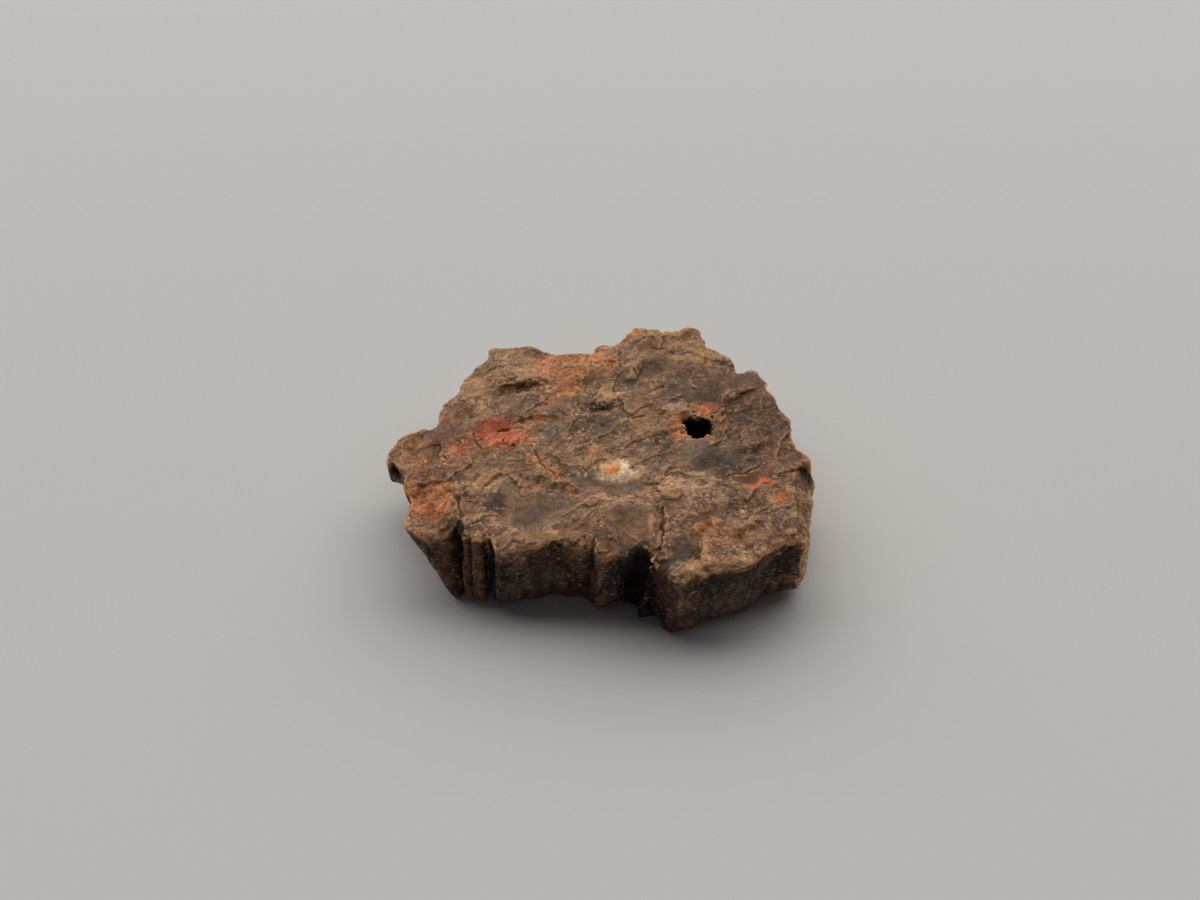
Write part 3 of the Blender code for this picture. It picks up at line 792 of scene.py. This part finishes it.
# %% Stains of the broken face
STAINS = [  # x, y, half length, half width, turn, strength, colour
    (29.0, 6.0, 19.0, 24.0, 0, 0.85, MAUVE_BROWN),
    (14.0, -28.0, 24.0, 8.0, 5, 0.85, UMBER),
    (35.0, -7.0, 9.0, 10.0, 20, 0.40, UMBER),
    (-24.0, 19.0, 12.0, 10.0, 30, 0.35, TAN),
    (20.0, 33.0, 13.0, 8.0, 0, 0.45, TAN),
    (-2.0, 2.0, 16.0, 9.0, 20, 0.40, OLIVE_GREY),
    (22.0, -27.0, 12.0, 6.0, 10, 0.40, RUST),
    (3.7, 26.4, 5.0, 2.2, 20, 0.85, UMBER),
    (31.3, 26.4, 2.6, 1.6, -40, 0.90, CHARCOAL),
    (37.7, 17.5, 1.5, 1.5, 0, 0.90, CHARCOAL),
    (32.0, 8.0, 6.0, 2.6, 35, 0.80, DARK_GREY),
    (36.5, 3.0, 4.0, 2.4, 40, 0.70, CHARCOAL),
    (32.0, -12.0, 5.0, 2.0, 20, 0.80, UMBER),
    (-13.4, 13.1, 4.0, 1.8, 20, 0.80, CHARCOAL),
    (-3.3, -11.6, 4.5, 2.2, -10, 0.75, DARK_GREY),
    (19.7, -14.0, 4.6, 4.2, 0, 0.75, PALE),
    (13.0, 6.2, 8.0, 4.5, 10, 0.65, TAN),
    (11.0, -4.9, 7.0, 3.4, 10, 0.75, DARK_GREY),
    (29.0, -23.8, 6.0, 3.0, 15, 0.70, DARK_GREY),
    (-24.0, -13.0, 5.0, 2.6, 20, 0.60, TAN),
    (-25.0, -22.0, 4.0, 3.5, 0, 0.60, TAN),
    (-13.0, -29.5, 12.0, 1.6, 5, 0.65, TAN),
    (0.0, -24.0, 4.0, 2.5, 0, 0.60, TAN),
    (21.0, -36.0, 9.0, 1.4, 8, 0.45, OCHRE),
    (-18.0, 26.0, 9.0, 6.5, 20, 0.50, OLIVE_GREY),
    (-26.0, 18.0, 6.5, 4.0, 60, 0.40, TAN),
    (-19.5, 16.0, 5.5, 2.4, 10, 0.55, CHARCOAL),
    (-6.0, 26.0, 10.5, 6.5, -8, 0.70, ORANGE),
    (-8.5, 16.0, 3.6, 7.0, -35, 0.75, ORANGE),
    (-13.0, 22.0, 3.0, 5.5, -20, 0.40, SALMON),
    (-1.0, 20.5, 2.0, 3.5, -30, 0.75, UMBER),
    (0.5, 24.0, 3.0, 4.5, 60, 0.60, RUST),
    (4.5, 35.5, 7.5, 2.6, 40, 0.65, ORANGE),
    (20.0, 36.0, 8.5, 3.4, 5, 0.45, RUST),
    (12.0, 25.0, 7.0, 5.6, 40, 0.75, OLIVE_GREY),
    (1.8, 15.0, 3.2, 5.6, -20, 0.75, TAN),
    (22.0, 15.5, 4.6, 2.4, 35, 0.60, BLUE_GREY),
    (31.0, 14.0, 9.0, 9.5, 45, 0.55, UMBER),
    (34.0, 0.0, 7.5, 7.0, 30, 0.45, UMBER),
    (-34.0, 5.0, 5.5, 9.0, 15, 0.80, MAROON),
    (-35.0, -8.5, 6.0, 5.5, -40, 0.85, MAROON),
    (-28.0, -8.5, 4.0, 3.0, 30, 0.40, TAN),
    (-29.0, -5.0, 9.5, 3.4, 38, 0.60, MAROON),
    (-33.5, -12.0, 3.0, 5.0, 10, 0.50, MAROON),
    (-21.5, 1.5, 6.8, 5.2, 10, 0.90, RED),
    (-19.6, -2.0, 3.0, 2.0, -20, 0.80, DEEP_RED),
    (-21.4, 3.3, 2.2, 0.8, 20, 0.80, DEEP_RED),
    (-15.6, 4.8, 4.4, 2.6, 15, 0.70, SALMON),
    (-16.5, 3.6, 2.4, 1.4, 10, 0.70, PALE),
    (-28.5, -2.5, 5.0, 2.0, 35, 0.65, RED),
    (-9.0, 5.6, 2.4, 1.6, 0, 0.55, RUST),
    (-3.0, 2.0, 8.5, 4.6, 18, 0.70, CHARCOAL),
    (-5.0, 11.0, 6.0, 3.0, 10, 0.60, CHARCOAL),
    (-16.0, -8.5, 7.0, 2.6, -38, 0.45, UMBER),
    (-0.7, -4.6, 1.3, 1.7, -15, 0.95, RED),
    (-1.2, -4.0, 1.2, 1.4, -15, 0.90, ORANGE),
    (-13.6, -6.8, 2.6, 1.2, -15, 0.90, ORANGE),
    (-9.3, -11.6, 1.1, 2.5, 20, 0.95, ORANGE),
    (-5.5, -16.5, 0.9, 1.9, 25, 0.85, ORANGE),
    (-3.8, -19.2, 1.6, 1.6, 0, 0.65, ORANGE),
    (-21.0, -18.0, 5.0, 3.4, 10, 0.55, BLUE_GREY),
    (-13.5, -21.5, 8.5, 5.6, 12, 0.70, TAUPE),
    (-12.5, -23.5, 6.5, 3.6, 12, 0.65, BLUE_GREY),
    (-22.0, -19.5, 3.4, 3.2, 10, 0.90, CHARCOAL),
    (-5.4, -19.6, 3.0, 2.0, -20, 0.80, DARK_GREY),
    (3.5, -14.5, 8.5, 3.6, 5, 0.80, BLUE_GREY),
    (3.0, -18.4, 4.5, 0.9, 10, 0.55, PALE),
    (6.8, -10.3, 2.6, 1.7, -5, 0.85, PALE),
    (5.5, -25.0, 7.5, 4.6, 0, 0.60, TAUPE),
    (2.0, -29.5, 2.2, 1.4, 0, 0.75, CHARCOAL),
    (16.5, -32.5, 2.6, 3.2, 10, 0.75, CHARCOAL),
    (22.5, -5.5, 6.6, 4.4, 28, 0.95, BLUE_GREY),
    (29.0, -8.0, 5.0, 3.2, 30, 0.90, CHARCOAL),
    (17.5, -10.0, 3.0, 2.4, 30, 0.60, UMBER),
    (31.5, -14.6, 4.4, 1.5, 24, 0.85, RED),
    (37.0, -18.0, 1.7, 1.1, 20, 0.65, RED),
    (19.8, -27.0, 2.6, 1.4, 20, 0.65, ORANGE),
    (28.0, -27.5, 7.0, 3.4, 12, 0.30, TAN),
    (20.5, -29.5, 0.8, 5.5, -12, 0.75, OCHRE),
    (22.6, 8.6, 5.4, 3.0, 30, 0.85, RUST),
    (17.6, 3.2, 2.8, 3.8, 0, 0.75, ORANGE),
    (22.0, -0.2, 3.8, 1.4, 0, 0.80, RUST),
    (23.6, 8.2, 3.8, 1.6, 30, 0.80, ORANGE),
    (24.6, 9.0, 2.6, 1.1, 35, 0.75, DEEP_RED),
    (25.8, 4.4, 1.4, 2.4, 0, 0.80, RUST),
    (-35.5, -17.5, 6.5, 4.6, 0, 0.95, ORANGE),
    (-37.0, -15.0, 3.0, 1.8, 10, 0.60, SALMON),
    (-34.0, -22.6, 4.8, 2.3, 5, 0.90, DEEP_RED),
    (-34.0, -22.0, 3.0, 0.9, 5, 0.70, RED),
    (-34.5, -26.4, 5.0, 1.8, 0, 0.70, RUST),
    (-41.0, -3.0, 6.0, 6.5, 0, 0.95, RUST),
    (-41.5, -4.0, 4.6, 4.6, 0, 0.45, UMBER),
    (-40.0, -1.0, 4.5, 3.4, 0, 0.25, OCHRE),
]
TORN = 3.4  # how far the borders of stains are torn
patchy = between(noise_at(plain, 0.4, 6.0, 0.66).outputs[0], 0.38, 0.50, 0.70, 1.0)
torn_edge = maths("SUBTRACT", noise_at(plain, 0.5, 6.0, 0.7).outputs[0], 0.5)
torn_edge = maths("MULTIPLY", torn_edge, TORN)
for x, y, half_length, half_width, turn, strength, stain in STAINS:
    reach = maths("ADD", oval_reach(ragged, x, y, half_length, half_width, turn), torn_edge)
    share = maths("MULTIPLY", between(reach, 1.10, 0.75), patchy)
    colour = mix(maths("MULTIPLY", share, strength), colour, stain)
print("stains:", len(STAINS))

# %% [markdown]
# ### The knob
#
# One knob of clean quartz is the brightest spot of the stone. Four soft ovals make it: a
# pale halo, the cream body, a white edge and an orange heart. Its border strays less than
# the stains' do, because clean quartz ends more sharply.

# %% The knob of clean quartz
KNOB_ORANGE = rgb(0.840, 0.330, 0.100)
KNOB_WHITE = rgb(0.980, 0.780, 0.540)
gentle = strayed(strayed(plain, 0.5, 2.4), 1.8, 1.2)
KNOB_COLOURS = [  # x, y, half length, half width, from, to, strength, colour
    (3.6, -10.2, 5.6, 3.0, 1.60, 0.50, 0.70, PALE),
    (*KNOB[:2], 4.4, 2.6, 1.30, 0.60, 1.00, CREAM),
    (3.9, -11.0, 2.4, 1.0, 1.50, 0.40, 0.90, KNOB_WHITE),
    (2.3, -9.6, 2.1, 1.4, 1.80, 0.20, 0.95, KNOB_ORANGE),
]
for x, y, half_length, half_width, outer, inner, strength, stain in KNOB_COLOURS:
    reach = oval_reach(gentle, x, y, half_length, half_width)
    colour = mix(between(reach, outer, inner, 0.0, strength), colour, stain)

# %% [markdown]
# ### Mottling, specks, painted shade and painted highlights
#
# Quartz is never one tone: it goes lighter and darker from grain to grain. Small crystals
# show as pale specks, which also stand in as painted glints, and manganese makes dark ones,
# mostly where the stone crumbled. Hollows are darkened as painted shade and raised edges
# are lightened as a painted highlight.

# %% Mottling, specks, painted shade in hollows and painted highlights on edges
# The pale specks are pale grains and painted glints.
PALE_SPECK_AND_GLINT = rgb(0.780, 0.590, 0.410)
DARK_SPECK = rgb(0.060, 0.036, 0.022)
HOLLOW_SHADE = rgb(0.070, 0.038, 0.021)
CREST_HIGHLIGHT = rgb(0.640, 0.365, 0.185)
crumbled = between(noise_at(plain, 0.13, 3.0).outputs[0], 0.44, 0.58, 0.35, 1.0)
crumbled = maths("MULTIPLY", crumbled, broken)
dark_oval = STAINS[0][:5]  # the first stain darkens the right side, which has fewer specks
dark_side = between(oval_reach(ragged, *dark_oval), 1.3, 0.7, 1.0, 0.50)
crumbled = maths("MULTIPLY", crumbled, dark_side)
FINE_LAYERS = [  # patches per millimetre, raggedness, from, to, strength, colour
    (0.45, 0.68, 0.52, 0.55, 0.50, TAN),
    (0.60, 0.70, 0.55, 0.57, 0.50, OCHRE),
    (0.80, 0.70, 0.54, 0.57, 0.70, CHARCOAL),
    (1.5, 0.60, 0.58, 0.65, 0.65, PALE_SPECK_AND_GLINT),
    (1.7, 0.60, 0.59, 0.66, 0.65, DARK_SPECK),
]
for number, (*pattern, strength, over) in enumerate(FINE_LAYERS):
    layer = (*pattern, maths("MULTIPLY", crumbled, strength), over)
    colour = grown(colour, plain, FINE_START + LAYER_STEP * number, layer)
for scale, darkest, brightest in [(0.16, 0.80, 1.20), (0.8, 0.78, 1.22)]:
    tone = between(noise_at(streaks, scale, 4.0, 0.6).outputs[0], 0.38, 0.62, darkest, brightest)
    colour = mix(1.0, colour, tone, "MULTIPLY")
crystals = node("ShaderNodeTexVoronoi")
feed(crystals.inputs["Vector"], plain)
feed(crystals.inputs["Scale"], 1.6)
grain_tone = between(crystals.outputs["Color"], 0.0, 1.0, 0.84, 1.16)
colour = mix(1.0, colour, grain_tone, "MULTIPLY")
# Painted shade: the hollows are darkened.
colour = mix(between(hollow_socket, 0.20, 0.95, 0.0, 0.50), colour, HOLLOW_SHADE)
# Painted highlight: the raised edges are lightened.
colour = mix(between(crest_socket, 0.35, 0.95, 0.0, 0.50), colour, CREST_HIGHLIGHT)
CONTRAST = 1.10  # above 1, dark tones get darker and colours fuller
BRIGHTENED = 1.20  # makes up for the light that the contrast takes away
deepened = node("ShaderNodeGamma")
feed(deepened.inputs["Color"], colour)
feed(deepened.inputs["Gamma"], CONTRAST)
colour = mix(1.0, deepened.outputs[0], rgb(BRIGHTENED, BRIGHTENED, BRIGHTENED), "MULTIPLY")

# %% [markdown]
# ### Walls
#
# The walls are dark, brown above and greyer below, with maroon and black stains and with
# specks in rows. Their hollows and grooves are painted black as shade, and their crests and
# ribs are painted rust as a highlight. A wall's stain is a ball stretched right through the
# stone, so it colours the wall from any side. The lip is a thin tan and orange band of clear
# quartz, broken here and there.

# %% Dark walls with a rusty lip
WALL_BROWN = rgb(0.165, 0.078, 0.040)
WALL_BLACK = rgb(0.026, 0.018, 0.014)
WALL_GREY = rgb(0.130, 0.096, 0.068)
WALL_RUST = rgb(0.330, 0.160, 0.075)
WALL_RED = rgb(0.090, 0.031, 0.021)
HOLE_SHADE = rgb(0.013, 0.008, 0.006)
LIP_TAN = rgb(0.930, 0.500, 0.210)
LIP_ORANGE = rgb(0.780, 0.310, 0.095)
WALL_SPECK = rgb(0.640, 0.460, 0.300)
upright = placed(strayed(plain, 0.5, 2.4), size=(1.0, 1.0, 2.2))
rows = placed(plain, size=(2.0, 2.0, 0.7))
WALL_LAYERS = [  # coordinates, then the same values as for the face
    (upright, (0.20, 0.60, 0.49, 0.52, 0.90, WALL_BLACK)),
    (upright, (0.26, 0.62, 0.52, 0.55, 0.85, WALL_GREY)),
    (upright, (0.50, 0.66, 0.54, 0.57, 0.80, WALL_RUST)),
]
WALL_SPECKS = [  # the same again, for specks that lie over the stains
    (plain, (0.90, 0.68, 0.53, 0.56, 0.65, WALL_BLACK)),
    (rows, (1.5, 0.62, 0.58, 0.62, 0.75, WALL_SPECK)),
    (plain, (1.1, 0.70, 0.60, 0.63, 0.50, WALL_SPECK)),
]
walls = WALL_BROWN
for number, (place, layer) in enumerate(WALL_LAYERS):
    walls = grown(walls, place, WALL_START + LAYER_STEP * number, layer)
DEPTH = 200.0  # a wall's stain reaches right through in y
WALL_TORN = 2.6  # how far the borders of wall stains are torn
WALL_STAINS = [  # x, height, half width, half height, strength, colour
    (-12.0, 4.0, 9.0, 5.0, 0.75, WALL_GREY),
    (-16.5, 14.5, 3.5, 2.6, 0.60, WALL_RUST),
    (-8.0, 12.5, 2.0, 4.5, 0.95, WALL_RED),
    (-12.3, 11.8, 2.2, 2.2, 0.85, WALL_RED),
    (-4.6, 14.0, 2.2, 2.2, 0.60, WALL_RUST),
    (-3.8, 6.0, 3.0, 5.5, 0.90, WALL_RED),
    # painted shade in the groove at x -1.4
    (-1.4, 13.0, 0.7, 4.0, 0.85, WALL_BLACK),
    (2.6, 8.5, 2.4, 6.0, 0.45, WALL_BLACK),
    # painted shade in the deep groove, on this line and the next
    (8.6, 7.0, 5.2, 16.0, 1.00, WALL_BLACK),
    (8.2, 7.0, 2.8, 14.0, 0.75, HOLE_SHADE),
    (13.2, 8.0, 3.0, 12.0, 0.85, WALL_RED),
    (15.8, 9.0, 1.4, 3.5, 0.60, WALL_RUST),
    # painted shade in the groove at x -21.2
    (-21.0, 9.0, 1.0, 8.0, 0.85, WALL_BLACK),
    # painted shade in the groove at x -27.6
    (-27.6, 12.5, 1.1, 4.5, 0.95, WALL_BLACK),
    # painted highlight on the ribs beside it, on this line and the next
    (-24.3, 8.0, 0.8, 8.0, 0.75, WALL_RUST),
    (-26.4, 7.0, 0.7, 8.5, 0.75, WALL_RUST),
    (-35.8, 12.0, 3.0, 3.0, 0.90, WALL_BLACK),
    (-36.0, 4.5, 2.0, 3.5, 0.75, WALL_BLACK),
    (-30.5, 6.0, 2.4, 3.0, 0.45, WALL_RUST),
    # painted shade beside the groove at x -27.6, lower down
    (-28.6, 7.0, 0.9, 6.0, 0.75, WALL_BLACK),
    (24.0, 12.0, 8.0, 2.4, 0.75, WALL_BLACK),
    (24.0, 4.0, 9.0, 3.5, 0.60, WALL_GREY),
    (35.5, 9.0, 3.6, 4.5, 0.80, WALL_BLACK),
    (36.0, 5.0, 3.0, 1.4, 0.60, WALL_RUST),
    (40.4, 8.0, 1.0, 9.0, 0.90, LIP_TAN),
    (44.0, 9.0, 3.0, 9.0, 0.75, LIP_TAN),
    # painted shade in the groove at x -21.2, higher up
    (-21.2, 14.5, 0.9, 3.0, 0.90, WALL_BLACK),
    # painted shade at the mouth of the deep groove
    (6.2, 16.5, 1.4, 1.6, 0.90, WALL_BLACK),
]
# Painted shade in the wall's hollows, then a painted highlight in rust on its crests.
walls = mix(between(hollow_socket, 0.10, 0.8, 0.0, 0.75), walls, WALL_BLACK)
walls = mix(between(hollow_socket, -0.3, -0.95, 0.0, 0.40), walls, WALL_RUST)
loose = strayed(strayed(plain, 0.5, 2.8), 1.8, 1.3)
wall_tear = maths("SUBTRACT", noise_at(plain, 1.0, 5.0, 0.7).outputs[0], 0.5)
wall_tear = maths("MULTIPLY", wall_tear, WALL_TORN)
for x, height, half_width, half_height, strength, stain in WALL_STAINS:
    reach = ball_reach(loose, (x, 0.0, height), (half_width, DEPTH, half_height))
    reach = maths("ADD", reach, wall_tear)
    walls = mix(between(reach, 1.10, 0.80, 0.0, strength), walls, stain)
speckled = between(noise_at(plain, 0.14, 3.0).outputs[0], 0.42, 0.60, 0.25, 1.0)
for number, (place, (*pattern, strength, over)) in enumerate(WALL_SPECKS):
    layer = (*pattern, maths("MULTIPLY", speckled, strength), over)
    walls = grown(walls, place, SPECK_START + LAYER_STEP * number, layer)
wall_tone = between(noise_at(upright, 0.7, 4.0, 0.65).outputs[0], 0.36, 0.64, 0.60, 1.40)
walls = mix(1.0, walls, wall_tone, "MULTIPLY")
print("wall stains:", len(WALL_STAINS))

# %% Walls meet the face in a tan lip
torn = maths("MULTIPLY", noise_at(plain, 0.9, 5.0, 0.65).outputs[0], 1.1)
border = maths("ADD", wall_share_socket, maths("SUBTRACT", torn, 0.55))
colour = mix(between(border, 0.50, 0.58), colour, walls)
lip_patches = between(noise_at(plain, 0.35, 5.0, 0.6).outputs[0], 0.44, 0.54, 0.05, 0.95)
lip_colour = mix(between(noise_at(plain, 0.5, 4.0).outputs[0], 0.46, 0.54), LIP_TAN, LIP_ORANGE)
lip = maths("MULTIPLY", between(lip_socket, 0.36, 0.72), lip_patches)
colour = mix(lip, colour, lip_colour)

# %% [markdown]
# ### Painted shade in the holes
#
# Deep holes look black because little light comes back out of them. A render shows that by
# itself, but not strongly enough, so each hole and the deep groove gets a dark ball of colour:
# painted shade. Smaller ones at the lip darken the teeth beside the groove, also as painted
# shade.

# %% Painted shade inside the knot hole, the stub's hollow and the deep groove
PAINTED_HOLE_SHADE = [  # centre, half sizes, colour
    ((11.8, -37.6, 14.0), (1.5, 2.2, 4.0), WALL_RED),
    ((12.9, -35.3, 15.5), (2.0, 0.6, 2.0), WALL_BLACK),
    ((7.4, -33.2, 14.0), (2.4, 1.4, 4.0), WALL_BLACK),
    ((-1.4, -31.2, 16.0), (0.5, 1.8, 2.2), WALL_RED),
    ((21.5, 4.5, 9.0), (3.5, 3.6, 14.0), HOLE_SHADE),
    ((-42.7, -7.2, 12.7), (1.7, 1.9, 2.1), HOLE_SHADE),
    ((8.3, -33.6, 6.0), (3.8, 3.4, 9.3), HOLE_SHADE),
    ((-27.8, -27.2, 14.0), (1.1, 2.6, 5.0), HOLE_SHADE),
]
# Each ball paints shade into a hole, the groove or a tooth at its lip.
for centre, half_sizes, dark in PAINTED_HOLE_SHADE:
    reach = ball_reach(loose, centre, half_sizes)
    colour = mix(between(reach, 1.08, 0.90), colour, dark)
feed(shader.inputs["Base Color"], colour)
print("dark holes and teeth:", len(PAINTED_HOLE_SHADE))

# %% [markdown]
# ### Gloss and grain
#
# Where quartz broke clean it is waxy, and where it crumbled it is dull. Roughness follows
# that with a noise along the same sweep. Grain and small chips, finer than the net, are
# left to bump, which only tilts the light; every form that has an outline is in the mesh.

# %% Roughness and bump
gloss = between(noise_at(streaks, 0.20, 4.0).outputs[0], 0.42, 0.60, 0.58, 0.80)
dull = between(hollow_socket, 0.0, 0.8, 0.0, 0.25)
feed(shader.inputs["Roughness"], maths("ADD", gloss, dull, clamp=True))
shader.inputs["Specular IOR Level"].default_value = 0.25
shader.inputs["IOR"].default_value = 1.54
fine_grain = noise_at(plain, 2.6, 4.0, 0.7).outputs[0]
coarse_grain = noise_at(plain, 1.2, 4.0, 0.65).outputs[0]
grain = maths("ADD", maths("MULTIPLY", fine_grain, 0.5), maths("MULTIPLY", coarse_grain, 0.7))
chips = node("ShaderNodeTexVoronoi")
feed(chips.inputs["Vector"], streaks)
feed(chips.inputs["Scale"], 0.9)
grain = maths("ADD", grain, maths("MULTIPLY", chips.outputs["Distance"], 0.6))
bump = node("ShaderNodeBump")
feed(bump.inputs["Strength"], 1.0)
feed(bump.inputs["Distance"], 0.20 * MM)
feed(bump.inputs["Height"], grain)
feed(shader.inputs["Normal"], bump.outputs[0])
stone_mesh.materials.clear()
stone_mesh.materials.append(material)
print("nodes in the finish:", len(tree.nodes))

# %% Say what the stone stands for
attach(stone, "root")
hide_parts("petrified_wood")

# %% [markdown]
# ## Table, light and camera
#
# A plain pale sheet and one big soft light suit a stone: the shadow is wide and the face
# shows its relief. The light is a wide box high up behind the stone, so the face is bright,
# the front wall falls into shade and the shadow comes forward. Being wide, it leaves hardly
# any shadow at the sides. A dim sky fills the rest.

# %% The sheet
SHEET_HALF = 2.5  # metres
PAPER = rgb(0.700, 0.697, 0.684)
sheet_shape = bmesh.new()
bmesh.ops.create_grid(sheet_shape, x_segments=1, y_segments=1, size=SHEET_HALF)
sheet_mesh = bpy.data.meshes.new("pale_sheet")
sheet_shape.to_mesh(sheet_mesh)
sheet_shape.free()
sheet = bpy.data.objects.new("pale_sheet", sheet_mesh)
bpy.context.scene.collection.objects.link(sheet)
paper = bpy.data.materials.new("pale_paper")
paper.use_nodes = True
paper_shader = paper.node_tree.nodes["Principled BSDF"]
paper_shader.inputs["Base Color"].default_value = PAPER
paper_shader.inputs["Roughness"].default_value = 0.9
paper_shader.inputs["Specular IOR Level"].default_value = 0.1
sheet_mesh.materials.append(paper)
sheet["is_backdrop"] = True
print("sheet, metres wide:", 2 * SHEET_HALF)

# %% The light
LIGHT_PLACE = Vector((-0.10, 3.04, 3.08))
LIGHT_WIDTH = 14.0
LIGHT_DEPTH = 4.5
LIGHT_WATTS = 421.0
LIGHT_COLOUR = (1.0, 0.975, 0.945)
SKY = (0.93, 0.96, 1.0, 1.0)
SKY_STRENGTH = 0.05
lamp_data = bpy.data.lights.new("wide_soft_box", "AREA")
lamp_data.shape = "RECTANGLE"
lamp_data.size = LIGHT_WIDTH
lamp_data.size_y = LIGHT_DEPTH
lamp_data.energy = LIGHT_WATTS
lamp_data.color = LIGHT_COLOUR
lamp = bpy.data.objects.new("wide_soft_box", lamp_data)
lamp.location = LIGHT_PLACE
lamp.rotation_euler = (-LIGHT_PLACE).to_track_quat("-Z", "Y").to_euler()
bpy.context.scene.collection.objects.link(lamp)
world = bpy.data.worlds.new("dim_sky")
world.use_nodes = True
sky = world.node_tree.nodes["Background"]
sky.inputs["Color"].default_value = SKY
sky.inputs["Strength"].default_value = SKY_STRENGTH
bpy.context.scene.world = world
bpy.context.scene.view_settings.view_transform = "Standard"
print("light, metres away:", round(LIGHT_PLACE.length, 2))

# %% The camera
LENS_MM = 32.0
SENSOR_MM = 36.0
AIM = Vector((0.0, 0.0135, 0.0))
DISTANCE = 0.250
ELEVATION = math.radians(42)
back = Vector((0.0, -math.cos(ELEVATION), math.sin(ELEVATION)))
camera_data = bpy.data.cameras.new("camera")
camera_data.lens = LENS_MM
camera_data.sensor_width = SENSOR_MM
camera_data.clip_start = 0.01
camera = bpy.data.objects.new("camera", camera_data)
camera.location = AIM + back * DISTANCE
camera.rotation_euler = (-back).to_track_quat("-Z", "Y").to_euler()
bpy.context.scene.collection.objects.link(camera)
bpy.context.scene.camera = camera
print("camera height, mm:", round(camera.location.z / MM))

# %% Print the dressed size, to set beside the solid model's, and finish
low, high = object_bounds()
print("dressed, mm:", [round((b - a) / MM, 1) for a, b in zip(low, high)])
